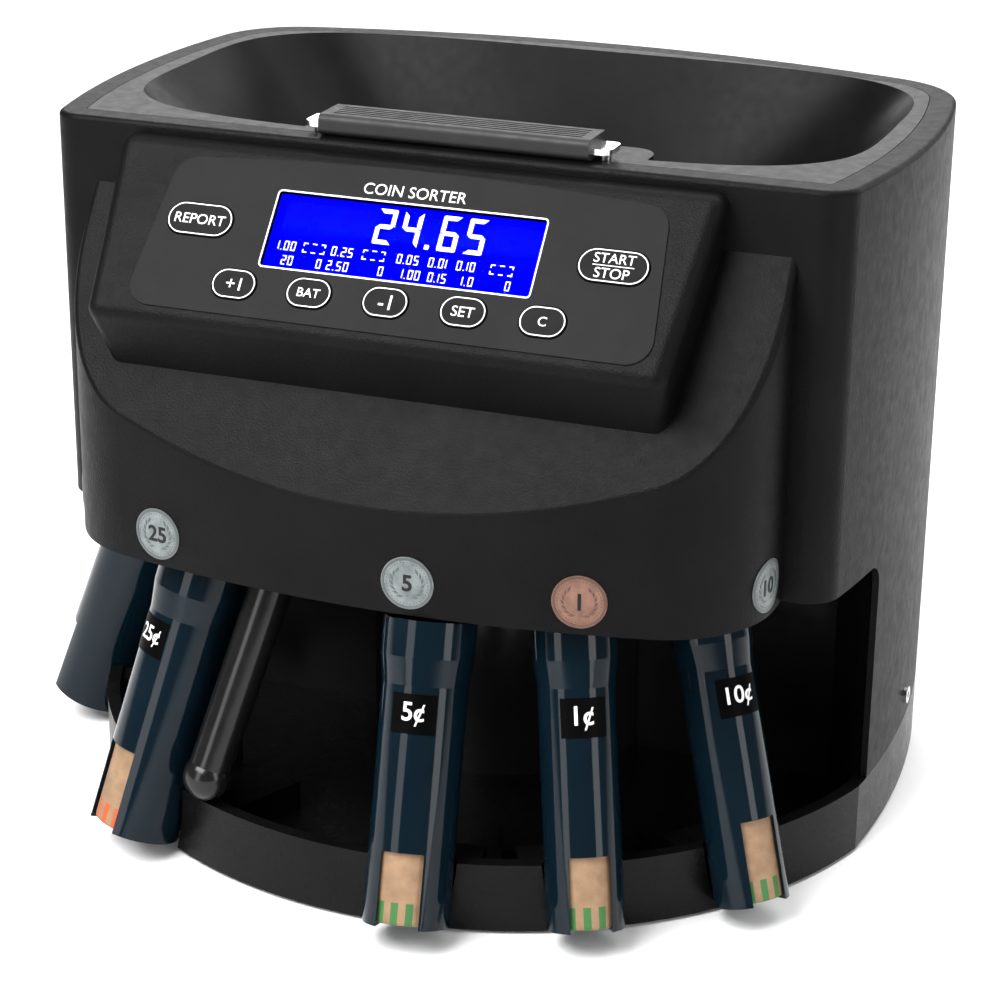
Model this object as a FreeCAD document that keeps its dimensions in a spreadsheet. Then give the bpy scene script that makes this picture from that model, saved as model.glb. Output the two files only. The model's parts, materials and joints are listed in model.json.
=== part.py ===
"""Table-top coin sorting machine, as an assembly of separate pieces.

The origin is on the table, under the axis of the sort disc. +Z is up, the console faces -Y,
and +X is on the right of a person who stands at the console. All sizes are in millimetres.
"""
import FreeCAD, Part
import math
import os

from FreeCAD import Placement, Rotation, Vector

DRIVING_SIZES = {
    # base and housing, in plan
    "base_radius": 165.0,
    "ring_top": 28.0,
    "ring_bottom": 1.5,
    "ring_wall": 5.0,
    "floor_bottom": 5.0,
    "floor_top": 8.0,
    "rib_inner": 118.0,
    "rib_thickness": 1.6,
    "rib_height": 12.0,
    "saddle_outer": 161.5,
    "saddle_depth": 16.0,
    "saddle_drop": 2.0,
    "stub_radius": 3.6,
    "stub_height": 7.0,
    "stub_middle": 148.0,
    "foot_radius": 9.0,
    "base_screw_radius": 3.2,
    "base_screw_height": 1.8,
    "base_socket_radius": 1.2,
    "base_socket_depth": 1.0,
    "front_flat": 90.0,
    "side_bulge": 160.5,
    "side_radius": 365.0,
    "side_centre": 3.0,
    "back_apex": 109.0,
    "back_radius": 468.0,
    "front_corner": 12.0,
    "rear_corner": 38.0,
    "rim_top": 267.0,
    "skirt_bottom": 117.0,
    "wall": 2.5,
    "rim_width": 10.0,
    "rim_thickness": 3.0,
    "rim_round": 2.0,
    "right_opening_rear": 41.0,
    "left_opening_rear": 14.0,
    "opening_corner": 9.0,
    "drum_hole_half": 126.0,
    "drum_hole_top": 227.0,
    # front drum
    "drum_half_width": 134.0,
    "drum_apex": 151.5,
    "drum_radius": 430.0,
    "drum_corner": 42.0,
    "slope_low_height": 157.0,
    "slope_low_depth": 150.0,
    "slope_high_height": 243.0,
    "smile_round": 2.5,
    # console and panel
    "console_top": 263.0,
    "console_top_depth": 97.0,
    "console_crease_depth": 141.4,
    "console_crease_height": 210.7,
    "console_toe_depth": 128.6,
    "console_toe_height": 187.7,
    "console_half_top": 114.5,
    "console_half_toe": 105.5,
    "console_shift": -4.5,
    "console_round": 5.0,
    "console_sink": 3.0,
    "panel_depth": 125.5,
    "overlay_thickness": 0.6,
    "overlay_half_bottom": 98.0,
    "overlay_half_top": 92.0,
    "overlay_low": 20.0,
    "overlay_high": 38.0,
    "overlay_arch": 4.0,
    "overlay_corner": 9.0,
    "display_width": 101.0,
    "display_height": 29.6,
    "display_middle": 14.4,
    "display_hole_gap": 0.6,
    "display_edge_gap": 0.1,
    "window_depth": 1.2,
    "lcd_inset": 0.6,
    "small_key_width": 17.0,
    "small_key_height": 11.5,
    "small_key_pitch": 28.7,
    "small_key_row": 8.5,
    "big_key_width": 25.5,
    "big_key_height": 12.7,
    "big_key_offset": 77.2,
    "key_gap": 0.3,
    "key_rise": 0.6,
    "key_round": 0.5,
    "key_flange": 1.2,
    "key_flange_thickness": 1.3,
    "key_clearance": 0.2,
    "board_thickness": 1.6,
    "board_depth": 8.0,
    "board_half_width": 93.0,
    "board_low": 16.0,
    "board_high": 31.0,
    "tact_half_width": 3.0,
    "tact_height": 2.6,
    # hopper tray and carrying handle
    "tray_gap": 0.3,
    "tray_wall": 2.2,
    "mouth_half_width": 143.0,
    "mouth_half_depth": 83.0,
    "mouth_middle": 9.0,
    "funnel_bottom": 178.0,
    "throat_radius": 64.0,
    "throat_bottom": 146.0,
    "ledge_left": 56.0,
    "ledge_right": 74.0,
    "ledge_top": 267.0,
    "ledge_reach": 22.0,
    "ledge_lean": 13.0,
    "ledge_depth": 62.0,
    "ledge_corner": 9.0,
    "handle_length": 102.0,
    "handle_middle": 6.0,
    "handle_width": 20.0,
    "handle_height": 7.5,
    "handle_depth": 76.0,
    "handle_gap": 0.6,
    "handle_round": 2.4,
    "groove_width": 1.2,
    "groove_depth": 0.9,
    "groove_margin": 4.4,
    "groove_end": 4.0,
    "band_length": 116.0,
    "band_width": 13.0,
    "band_thickness": 2.0,
    "band_rise": 2.6,
    "band_round": 3.0,
    "band_foot_radius": 2.6,
    "band_foot_inset": 4.0,
    # sorting unit and drive
    "deck_bottom": 117.5,
    "deck_thickness": 3.0,
    "deck_radius": 147.5,
    "deck_gap": 0.3,
    "outlet_radius": 131.0,
    "disc_radius": 90.0,
    "disc_bottom": 133.0,
    "disc_thickness": 5.0,
    "disc_edge": 1.0,
    "disc_hub_radius": 12.0,
    "disc_hub_gap": 2.6,
    "fin_width": 4.0,
    "fin_length": 50.0,
    "fin_height": 2.5,
    "fin_outer": 78.0,
    "rail_inner": 92.0,
    "rail_outer": 104.0,
    "rail_height": 16.0,
    "gate_sill": 2.0,
    "gate_height": 11.0,
    "sensor_width": 10.0,
    "sensor_depth": 7.0,
    "sensor_height": 8.0,
    "sensor_outer": 103.0,
    "spindle_radius": 5.0,
    "spindle_end": 4.0,
    "spindle_chamfer": 0.8,
    "running_gap": 0.05,
    "bearing_radius": 9.0,
    "bearing_gap": 1.5,
    "bearing_flange": 4.0,
    "bearing_flange_thickness": 2.0,
    "disc_pulley_radius": 30.0,
    "motor_pulley_radius": 8.0,
    "pulley_bottom": 103.0,
    "pulley_height": 8.0,
    "pulley_flange": 1.0,
    "pulley_lip": 2.6,
    "motor_offset": 55.0,
    "motor_radius": 18.5,
    "motor_length": 47.0,
    "motor_top": 92.0,
    "motor_chamfer": 3.0,
    "motor_seam_low": 18.0,
    "motor_seam_high": 15.0,
    "motor_seam_depth": 1.2,
    "motor_shaft_radius": 3.0,
    "motor_shaft_sink": 14.0,
    "motor_shaft_gap": 0.5,
    "belt_thickness": 1.6,
    "belt_gap": 0.15,
    "belt_margin": 1.0,
    "bracket_length": 64.0,
    "bracket_width": 46.0,
    "bracket_thickness": 2.5,
    "bracket_hole_gap": 2.0,
    "bracket_post_radius": 3.5,
    "bracket_post_x": 27.0,
    "bracket_post_y": 18.0,
    # bay
    "bay_back": 8.0,
    "bay_bend": 136.0,
    "bay_end_gap": 0.5,
    "seat_gap": 0.2,
    "tower_radius": 56.0,
    "saddle_room_width": 60.0,
    "saddle_room_depth": 17.0,
    "saddle_room_outer": 162.0,
    "chute_radius": 8.0,
    "chute_bore": 6.0,
    "chute_foot_radius": 9.0,
    "chute_foot_angle": -23.5,
    "chute_foot_reach": 163.0,
    "chute_foot_height": 38.0,
    "chute_head_angle": -20.5,
    "stop_width": 22.0,
    "stop_thickness": 3.0,
    "stop_height": 19.5,
    "stop_touch_height": 105.0,
    "stop_gap": 1.5,
    "screw_radius": 3.4,
    "screw_height": 1.6,
    "screw_socket_radius": 1.3,
    "screw_socket_depth": 0.8,
    "bay_screw_x": 78.0,
    "bay_screw_height": 60.0,
    "flank_screw_depth": 12.0,
    "flank_screw_height": 40.0,
    "flank_screw_gap": 0.15,
    # coin tubes
    "tube_foot_radius": 176.0,
    "tube_foot_height": 8.5,
    "tube_lean": 20.0,
    "tube_wall": 1.2,
    "tube_top": 116.4,
    "slot_depth": 4.0,
    "collar_rise": 1.3,
    "collar_height": 13.0,
    "collar_taper": 10.0,
    "wrapper_height": 76.0,
    "wrapper_wall": 0.6,
    "wrapper_gap": 0.2,
    "wrapper_crimp": 4.0,
    "wrapper_fold": 0.8,
    "label_width": 16.0,
    "label_height": 14.0,
    "label_foot": 69.0,
    "label_thickness": 0.25,
    "saddle_gap": 1.0,
    "saddle_wall": 7.0,
    "outlet_first": -76.0,
    "outlet_pitch": 21.0,
    # stickers and rear fittings
    "sticker_radius": 9.75,
    "sticker_height": 129.3,
    "sticker_thickness": 0.4,
    "sticker_gap": 0.05,
    "sticker_punch": 12.0,
    "rear_fitting_height": 52.0,
    "rear_fitting_gap": 0.3,
    "pin_radius": 1.2,
    "pin_length": 12.0,
    "pin_back": 13.5,
    "pin_spread": 4.3,
    "rocker_radius": 9.0,
    "rocker_half_width": 5.8,
    "rocker_pivot_depth": 1.5,
    "rocker_flat": 6.2,
    "rocker_throw": 20.0,
}

# how far fused pieces run into each other, how far cutting tools run past the work,
# further than the machine reaches to any side, and the least skin a tool may leave
JOIN = 1.0
BEYOND = 20.0
FAR = 200.0
SKIN = 0.01
# points nearer than this are one point, and edges this near to a line lie on it
SAME_POINT = 1e-3
NEAR_POINT = 0.1
HALVINGS = 60
FULL_TURN = 360.0

# coin tubes: outlet number along the arc, outside radius, width and height of the window slot
TUBES = {
    "100c": (0, 18.1, 18.0, 30.0),
    "25c": (2, 17.0, 17.0, 32.0),
    "5c": (4, 15.5, 15.5, 27.0),
    "1c": (5, 14.0, 15.0, 27.0),
    "10c": (6, 13.6, 14.0, 31.0),
}
OUTLET_COUNT = 8
OVAL_POINTS = 32
GROOVE_COUNT = 5
FIN_COUNT = 6
# slot widths of the eight rail gates, from the left round to the right
GATE_WIDTHS = (27.5, 12.0, 25.3, 12.0, 22.2, 20.0, 18.9, 12.0)

document = FreeCAD.newDocument("coin_sorting_machine")
sizes = document.addObject("Spreadsheet::Sheet", "sizes")
for row, (word, value) in enumerate(DRIVING_SIZES.items(), start=1):
    sizes.set(f"A{row}", word)
    sizes.set(f"B{row}", str(value))
    sizes.setAlias(f"B{row}", word)
document.recompute()

subparts = []


def size(word):
    """The value of one driving size, read from the sheet."""
    return float(sizes.get(word))


# ---------------------------------------------------------------- helpers

def bind(thing, expressions):
    """Bind properties of a document object to cells of the sheet."""
    for name, expression in expressions.items():
        thing.setExpression(name, expression)
    return thing


def as_subpart(thing, label):
    """Name a finished object as one sub-part of the machine."""
    thing.Label = label
    subparts.append(thing)
    return thing


PLACES = ("Placement.Base.x", "Placement.Base.y", "Placement.Base.z")


def box(name, lengths, corner=()):
    """A block; lengths and corner are expressions. With no corner, the caller places it."""
    block = document.addObject("Part::Box", name)
    bind(block, dict(zip(("Length", "Width", "Height"), lengths)))
    return bind(block, dict(zip(PLACES, corner)))


def cylinder(name, radius, height, foot=()):
    """A round bar; radius, height and foot centre are expressions. With no foot, the caller places it."""
    bar = document.addObject("Part::Cylinder", name)
    bind(bar, {"Radius": radius, "Height": height})
    return bind(bar, dict(zip(PLACES, foot)))


def fuse(name, pieces):
    """Several touching solids joined into one."""
    joined = document.addObject("Part::MultiFuse", name)
    joined.Shapes = pieces
    joined.Refine = True
    return joined


def cut(name, base, tools):
    """A base with tools removed."""
    tool = tools[0] if len(tools) == 1 else fuse(name + "_tools", tools)
    result = document.addObject("Part::Cut", name)
    result.Base = base
    result.Tool = tool
    return result


def common(name, base, tool):
    """What two solids share."""
    result = document.addObject("Part::Common", name)
    result.Base = base
    result.Tool = tool
    return result


def group(name, pieces):
    """Separate solids kept together as one node."""
    result = document.addObject("Part::Compound", name)
    result.Links = pieces
    return result


def new_body(name):
    return document.addObject("PartDesign::Body", name)


def new_sketch(body, name, role="XY_Plane", offset="0"):
    """A sketch attached to one of the body's own origin planes."""
    sketch = body.newObject("Sketcher::SketchObject", name)
    plane = next(item for item in body.Origin.OriginFeatures if item.Role == role)
    sketch.AttachmentSupport = [(plane, "")]
    sketch.MapMode = "FlatFace"
    sketch.setExpression("AttachmentOffset.Base.z", offset)
    return sketch


def polygon(points):
    """Straight sketch lines through the points, closed."""
    corners = [Vector(x, y, 0) for x, y in points]
    return [Part.LineSegment(a, b) for a, b in zip(corners, corners[1:] + corners[:1])]


def arc_through(start, middle, end):
    return Part.Arc(Vector(*start, 0), Vector(*middle, 0), Vector(*end, 0))


def line(start, end):
    return Part.LineSegment(Vector(*start, 0), Vector(*end, 0))


def pad(body, name, geometry, length, role="XY_Plane", offset="0"):
    """A pad of sketch geometry, upwards along the plane's normal."""
    sketch = new_sketch(body, name + "_sketch", role, offset)
    sketch.addGeometry(geometry, False)
    feature = body.newObject("PartDesign::Pad", name)
    feature.Profile = sketch
    feature.setExpression("Length", length)
    body.Tip = feature
    return feature


def padded(name, geometry, length, role="XY_Plane", offset="0"):
    """A body that is one pad."""
    body = new_body(name)
    pad(body, name + "_pad", geometry, length, role, offset)
    return body


def revolved(name, profile):
    """A body turned about its own Z axis; profile is (radius, height) points."""
    body = new_body(name)
    sketch = new_sketch(body, name + "_sketch", "XZ_Plane")
    sketch.addGeometry(polygon(profile), False)
    feature = body.newObject("PartDesign::Revolution", name + "_turn")
    feature.Profile = sketch
    feature.ReferenceAxis = (sketch, ["V_Axis"])
    feature.Angle = FULL_TURN
    body.Tip = feature
    return body


def round_edges(name, base, radius, wanted):
    """A copy of the base with the wanted edges rounded."""
    document.recompute()
    value = size(radius)
    picked = [i for i, edge in enumerate(base.Shape.Edges, start=1) if wanted(edge)]
    rounded = document.addObject("Part::Fillet", name)
    rounded.Base = base
    rounded.Edges = [(i, value, value) for i in picked]
    return rounded


def body_fillet(body, feature, name, radius, wanted):
    """Round the wanted edges inside a body."""
    document.recompute()
    picked = [f"Edge{i}" for i, edge in enumerate(feature.Shape.Edges, start=1) if wanted(edge)]
    rounded = body.newObject("PartDesign::Fillet", name)
    rounded.Base = (feature, picked)
    rounded.setExpression("Radius", radius)
    body.Tip = rounded
    return rounded


def upright(edge):
    """True of a straight edge along Z."""
    first, last = edge.Vertexes[0].Point, edge.Vertexes[-1].Point
    flat = math.hypot(last.x - first.x, last.y - first.y)
    return flat < SAME_POINT and abs(last.z - first.z) > NEAR_POINT


def outlet_angle(number):
    """Angle of an outlet in degrees, from -Y and positive towards +X."""
    return size("outlet_first") + number * size("outlet_pitch")


def around(angle, radius, height, lean=0.0):
    """A placement at an angle of the arc; its local -Y points outwards, its top leans inwards."""
    turn = math.radians(angle)
    point = Vector(radius * math.sin(turn), -radius * math.cos(turn), height)
    spin = Rotation(Vector(0, 0, 1), angle)
    tilt = Rotation(Vector(1, 0, 0), -lean)
    return Placement(point, spin.multiply(tilt))


def shifted(place, x=0.0, y=0.0, z=0.0):
    """A placement moved along its own axes."""
    return place.multiply(Placement(Vector(x, y, z), Rotation()))


# ---------------------------------------------------------------- plan outlines

def side_edge(inset, y):
    """Half-width of the housing at one depth."""
    reach = size("side_radius") - inset
    centre = size("side_bulge") - size("side_radius")
    return centre + math.sqrt(reach ** 2 - (y + size("side_centre")) ** 2)


def rear_corner(inset):
    """Where the flank arc meets the bowed back, by halving."""
    low, high = 0.0, size("back_apex")
    for _ in range(HALVINGS):
        y = (low + high) / 2
        reach = size("back_radius") - inset
        middle = size("back_apex") - size("back_radius")
        back_y = middle + math.sqrt(reach ** 2 - side_edge(inset, y) ** 2)
        if y < back_y:
            low = y
        else:
            high = y
    return side_edge(inset, low), low


def rear_geometry(inset, start_y):
    """Right flank, bowed back and left flank, from one depth round to the same depth."""
    x, y = rear_corner(inset)
    middle_y = -size("side_centre")
    bulge = side_edge(inset, middle_y)
    edge = side_edge(inset, start_y)
    return [
        arc_through((edge, start_y), (bulge, middle_y), (x, y)),
        arc_through((x, y), (0, size("back_apex") - inset), (-x, y)),
        arc_through((-x, y), (-bulge, middle_y), (-edge, start_y)),
    ]


def housing_block(name, inset, bottom, height):
    """A solid block of the housing's plan, inset from its outside."""
    front = inset - size("front_flat")
    edge = side_edge(inset, front)
    geometry = [line((-edge, front), (edge, front))] + rear_geometry(inset, front)
    body = new_body(name)
    feature = pad(body, name + "_pad", geometry, height, offset=bottom)
    sharp_front = body_fillet(body, feature, name + "_front", f"sizes.front_corner - {inset}",
                              lambda e: upright(e) and e.Vertexes[0].Y < 0)
    body_fillet(body, sharp_front, name + "_rear", f"sizes.rear_corner - {inset}",
                lambda e: upright(e) and near_rear_corner(e, inset))
    return body


def near_rear_corner(edge, inset):
    """True of an upright edge where a flank meets the back."""
    x, y = rear_corner(inset)
    point = edge.Vertexes[0].Point
    return abs(abs(point.x) - x) < NEAR_POINT and abs(point.y - y) < NEAR_POINT


def base_block(name, inset, bottom, height):
    """A solid block of the base's plan: a round front that runs into the housing's flanks."""
    reach = size("base_radius") - inset
    y = -size("right_opening_rear")
    for _ in range(HALVINGS):
        y = -math.sqrt(reach ** 2 - side_edge(inset, y) ** 2)
    edge = side_edge(inset, y)
    geometry = [arc_through((-edge, y), (0, -reach), (edge, y))] + rear_geometry(inset, y)
    body = new_body(name)
    feature = pad(body, name + "_pad", geometry, height, offset=bottom)
    body_fillet(body, feature, name + "_rear", f"sizes.rear_corner - {inset}",
                lambda e: upright(e) and near_rear_corner(e, inset))
    return body


# ---------------------------------------------------------------- base

def tube_radius(coin):
    """Outside radius of a coin tube."""
    return TUBES[coin][1]


def tube_placement(coin):
    """The frame of a coin tube: its foot, with local Z up the leaning axis."""
    return around(outlet_angle(TUBES[coin][0]), size("tube_foot_radius"),
                  size("tube_foot_height"), size("tube_lean"))


def saddle_cutter(coin):
    """The leaning bar of air that a tube needs in the ring and its saddle."""
    cutter = cylinder("saddle_cutter_" + coin, f"{tube_radius(coin)} + sizes.saddle_gap",
                      str(3 * BEYOND))
    cutter.Placement = shifted(tube_placement(coin), z=-BEYOND)
    return cutter


def make_base():
    """The base: ring, floor, ribs between the outlets, tube saddles and a blank stub."""
    outer = base_block("base_outside", 0.0, "sizes.ring_bottom",
                       "sizes.ring_top - sizes.ring_bottom")
    above = base_block("base_above_floor", size("ring_wall"), "sizes.floor_top",
                       "sizes.ring_top")
    below = base_block("base_below_floor", size("ring_wall"), "0", "sizes.floor_bottom")
    dish = cut("base_dish", outer, [above, below])
    rib_outer = size("base_radius") - size("ring_wall") + JOIN
    fitting_foot = size("floor_top") - JOIN
    fittings = []
    for number in range(OUTLET_COUNT - 1):
        rib = box(f"floor_rib_{number}", ("sizes.rib_thickness", f"{rib_outer} - sizes.rib_inner",
                                          f"sizes.rib_height + {JOIN}"))
        middle = outlet_angle(number) + size("outlet_pitch") / 2
        rib.Placement = shifted(around(middle, rib_outer, fitting_foot),
                                x=-size("rib_thickness") / 2)
        fittings.append(rib)
    for coin in TUBES:
        half = tube_radius(coin) + size("saddle_wall")
        saddle = box("saddle_" + coin, (str(2 * half), "sizes.saddle_depth",
                                        f"sizes.ring_top - sizes.saddle_drop - {fitting_foot}"))
        saddle.Placement = shifted(
            around(outlet_angle(TUBES[coin][0]), size("saddle_outer"), fitting_foot), x=-half)
        fittings.append(saddle)
    stub = cylinder("blank_stub", "sizes.stub_radius", f"sizes.stub_height + {JOIN}")
    stub.Placement = around(outlet_angle(OUTLET_COUNT - 1), size("stub_middle"), fitting_foot)
    fittings.append(stub)
    joined = fuse("base_joined", [dish] + fittings)
    trimmed = common("base_trimmed", joined, base_block("base_limit", 0.0, "0", "sizes.ring_top"))
    tray = cut("base_tray", trimmed, [saddle_cutter(coin) for coin in TUBES])
    as_subpart(tray, "base_tray")


FOOT_PLACES = ((-100, -75), (100, -75), (-100, 75), (100, 75))
BASE_SCREW_PLACES = ((-60, -120), (60, -120), (-130, 0), (130, 0), (-60, 82), (60, 82))


def make_feet():
    """Four rubber feet."""
    feet = [cylinder(f"foot_{n}", "sizes.foot_radius", "sizes.floor_bottom", (str(x), str(y), "0"))
            for n, (x, y) in enumerate(FOOT_PLACES)]
    as_subpart(group("rubber_feet", feet), "rubber_feet")


def make_base_screws():
    """Screws that hold the base to the housing, seen from below."""
    screws = []
    for number, (x, y) in enumerate(BASE_SCREW_PLACES):
        under = "sizes.floor_bottom - sizes.base_screw_height"
        head = cylinder(f"base_screw_head_{number}", "sizes.base_screw_radius",
                        "sizes.base_screw_height", (str(x), str(y), under))
        socket = cylinder(f"base_screw_socket_{number}", "sizes.base_socket_radius",
                          "2 * sizes.base_socket_depth",
                          (str(x), str(y), under + " - sizes.base_socket_depth"))
        screws.append(cut(f"base_screw_{number}", head, [socket]))
    as_subpart(group("base_screws", screws), "base_screws")


# ---------------------------------------------------------------- housing

def flank_opening(name, rear_depth, side):
    """The air of one side of the tube bay, with its upper rear corner rounded."""
    rear = -size(rear_depth)
    top = size("skirt_bottom")
    front = -size("base_radius") - BEYOND
    bottom = size("ring_top") - BEYOND
    corner = size("opening_corner")
    bend = corner * (1 - math.sqrt(0.5))
    geometry = [
        line((front, bottom), (rear, bottom)),
        line((rear, bottom), (rear, top - corner)),
        arc_through((rear, top - corner), (rear - bend, top - bend), (rear - corner, top)),
        line((rear - corner, top), (front, top)),
        line((front, top), (front, bottom)),
    ]
    body = padded(name, geometry, str(FAR), "YZ_Plane")
    if side < 0:
        body.Placement = Placement(Vector(-FAR, 0, 0), Rotation())
    return body


def rear_place(x):
    """A placement on the bowed back at one X; its local +Y points out of the machine."""
    reach = size("back_radius")
    turn = math.degrees(math.asin(-x / reach))
    y = size("back_apex") - reach + math.sqrt(reach ** 2 - x ** 2)
    return Placement(Vector(x, y, size("rear_fitting_height")), Rotation(Vector(0, 0, 1), turn))


def local_box(name, place, low, high):
    """A block between two corners of a placed local frame."""
    block = box(name, tuple(str(b - a) for a, b in zip(low, high)))
    block.Placement = place.multiply(Placement(Vector(*low), Rotation()))
    return block


# rear fittings: X along the back, thickness of the flange and depths of the shell and cavity,
# then the half-width and half-height of each block
REAR_FITTINGS = {
    "inlet": {"x": 0.0, "flange_thickness": 1.7, "shell_depth": 17.0, "cavity_depth": 13.0,
              "hole": (14.0, 9.0), "flange": (17.0, 12.0), "shell": (13.8, 8.8),
              "cavity": (10.0, 4.5)},
    "switch": {"x": -46.0, "flange_thickness": 1.5, "shell_depth": 16.0, "cavity_depth": 14.5,
               "hole": (8.0, 12.0), "flange": (10.0, 14.0), "shell": (7.8, 11.8),
               "cavity": (6.1, 9.4)},
    "port": {"x": 46.0, "flange_thickness": 1.3, "shell_depth": 14.0, "cavity_depth": 11.0,
             "hole": (8.0, 7.0), "flange": (9.5, 8.5), "shell": (7.8, 6.8),
             "cavity": (6.0, 4.5)},
}


def rear_block(fitting, block, low, high):
    """One block of a rear fitting, between two depths along the outward direction."""
    half_width, half_height = REAR_FITTINGS[fitting][block]
    return local_box(f"{fitting}_{block}", rear_place(REAR_FITTINGS[fitting]["x"]),
                     (-half_width, low, -half_height), (half_width, high, half_height))


def make_housing():
    """The tall housing: open below and in front, with its rear cut-outs and its mouth."""
    outer = housing_block("housing_outside", 0.0, "sizes.ring_top",
                          "sizes.rim_top - sizes.ring_top")
    softened = round_edges("housing_softened", outer, "rim_round",
                           lambda e: all(abs(v.Z - size("rim_top")) < SAME_POINT
                                         for v in e.Vertexes))
    inner = housing_block("housing_inside", size("wall"), "0",
                          "sizes.rim_top - sizes.rim_thickness")
    mouth = housing_block("housing_mouth", size("rim_width"), f"sizes.rim_top - {BEYOND}",
                          str(2 * BEYOND))
    drum_hole = box("drum_hole",
                    ("2 * sizes.drum_hole_half", str(BEYOND),
                     f"sizes.drum_hole_top - sizes.skirt_bottom + {JOIN}"),
                    ("-sizes.drum_hole_half", f"-sizes.front_flat - {BEYOND / 2}",
                     f"sizes.skirt_bottom - {JOIN}"))
    tools = [
        inner,
        mouth,
        flank_opening("right_opening", "right_opening_rear", 1),
        flank_opening("left_opening", "left_opening_rear", -1),
        drum_hole,
    ]
    tools += [rear_block(fitting, "hole", -BEYOND / 2, BEYOND / 2) for fitting in REAR_FITTINGS]
    as_subpart(cut("main_housing", softened, tools), "main_housing")


def slope_height(y):
    """Height of the drum's sloping face at one depth."""
    rise = size("slope_high_height") - size("slope_low_height")
    run = size("slope_low_depth") - size("front_flat")
    return size("slope_low_height") + (y + size("slope_low_depth")) * rise / run


def drum_block(name, inset, bottom, rear):
    """The drum as a solid, inset from its outside and cut off by its sloping face."""
    reach = size("drum_radius") - inset
    middle = size("drum_radius") - size("drum_apex")
    half = size("drum_half_width") - inset
    corner_y = middle - math.sqrt(reach ** 2 - half ** 2)
    geometry = [
        line((-half, rear), (-half, corner_y)),
        arc_through((-half, corner_y), (0, middle - reach), (half, corner_y)),
        line((half, corner_y), (half, rear)),
        line((half, rear), (-half, rear)),
    ]
    body = new_body(name + "_round")
    feature = pad(body, name + "_pad", geometry, str(FAR), offset=bottom)
    body_fillet(body, feature, name + "_corner", f"sizes.drum_corner - {inset}",
                lambda e: upright(e) and abs(e.Vertexes[0].Y - corner_y) < NEAR_POINT)
    rise = size("slope_high_height") - size("slope_low_height")
    run = size("slope_low_depth") - size("front_flat")
    drop = inset * math.hypot(rise, run) / run
    front, back = -FAR, -size("front_flat") + 2 * BEYOND
    above = padded(name + "_above", polygon([
        (front, slope_height(front) - drop), (back, slope_height(back) - drop),
        (back, 2 * FAR), (front, 2 * FAR)]), str(2 * FAR), "YZ_Plane")
    above.Placement = Placement(Vector(-FAR, 0, 0), Rotation())
    return cut(name, body, [above])


def on_smile(edge):
    """True of the edge where the sloping face meets the drum's wall."""
    points = [edge.valueAt(edge.FirstParameter), edge.valueAt(edge.LastParameter)]
    on_slope = all(abs(p.z - slope_height(p.y)) < NEAR_POINT for p in points)
    return on_slope and min(p.y for p in points) < -size("front_flat") - NEAR_POINT


def make_drum():
    """The bowed front drum, open behind and below."""
    outer = drum_block("drum_outside", 0.0, "sizes.skirt_bottom", -size("front_flat"))
    softened = round_edges("drum_softened", outer, "smile_round", on_smile)
    inner = drum_block("drum_inside", size("wall"), f"sizes.skirt_bottom - {BEYOND}",
                       -size("front_flat") + BEYOND)
    as_subpart(cut("front_drum", softened, [inner]), "front_drum")


# ---------------------------------------------------------------- console

def panel_frame():
    """The frame of the console's sloping face: local X across, Y up the slope, Z out of it."""
    rise = size("console_top") - size("console_crease_height")
    run = size("console_crease_depth") - size("console_top_depth")
    up_the_slope = size("console_crease_depth") - size("panel_depth")
    height = size("console_crease_height") + up_the_slope * rise / run
    return Placement(Vector(0, -size("panel_depth"), height),
                     Rotation(Vector(1, 0, 0), math.degrees(math.atan2(rise, run))))


def key_places():
    """Each key's name, its middle on the panel and its width and height."""
    small = (size("small_key_width"), size("small_key_height"))
    big = (size("big_key_width"), size("big_key_height"))
    row = -size("small_key_row")
    names = ("plus_one", "batch", "minus_one", "set", "clear")
    places = {f"key_{name}": ((n - 2) * size("small_key_pitch"), row, *small)
              for n, name in enumerate(names)}
    side = size("big_key_offset")
    places["key_report"] = (-side, size("display_middle"), *big)
    places["key_start_stop"] = (side, size("display_middle"), *big)
    return places


def stadium(middle_x, middle_y, width, height):
    """Sketch geometry of a stadium: two straight edges and two round ends."""
    radius = height / 2
    half = width / 2 - radius
    low, high = middle_y - radius, middle_y + radius
    left, right = middle_x - half, middle_x + half
    return [
        line((left, low), (right, low)),
        arc_through((right, low), (right + radius, middle_y), (right, high)),
        line((right, high), (left, high)),
        arc_through((left, high), (left - radius, middle_y), (left, low)),
    ]


def placed_pad(name, geometry, low, high):
    """A pad in the panel's frame, between two heights over the console's face."""
    body = padded(name, geometry, str(high - low), offset=str(low))
    body.Placement = panel_frame()
    return body


def rectangle(x_low, x_high, y_low, y_high):
    return polygon([(x_low, y_low), (x_high, y_low), (x_high, y_high), (x_low, y_high)])


def display_geometry(grow):
    half_width = size("display_width") / 2 + grow
    half_height = size("display_height") / 2 + grow
    middle = size("display_middle")
    return rectangle(-half_width, half_width, middle - half_height, middle + half_height)


def meeting(first, second):
    """The point where two lines meet, each given by two points."""
    (ax, ay), (bx, by) = first
    (cx, cy), (dx, dy) = second
    across = (bx - ax) * (dy - cy) - (by - ay) * (dx - cx)
    along = ((cx - ax) * (dy - cy) - (cy - ay) * (dx - cx)) / across
    return ax + along * (bx - ax), ay + along * (by - ay)


def moved_outline(points, insets):
    """A closed outline, run anticlockwise, with each edge moved inwards by its own amount."""
    lines = []
    for (ax, ay), (bx, by), inset in zip(points, points[1:] + points[:1], insets):
        length = math.hypot(bx - ax, by - ay)
        across, along = -(by - ay) / length * inset, (bx - ax) / length * inset
        lines.append(((ax + across, ay + along), (bx + across, by + along)))
    return [meeting(before, after) for before, after in zip(lines[-1:] + lines[:-1], lines)]


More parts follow.
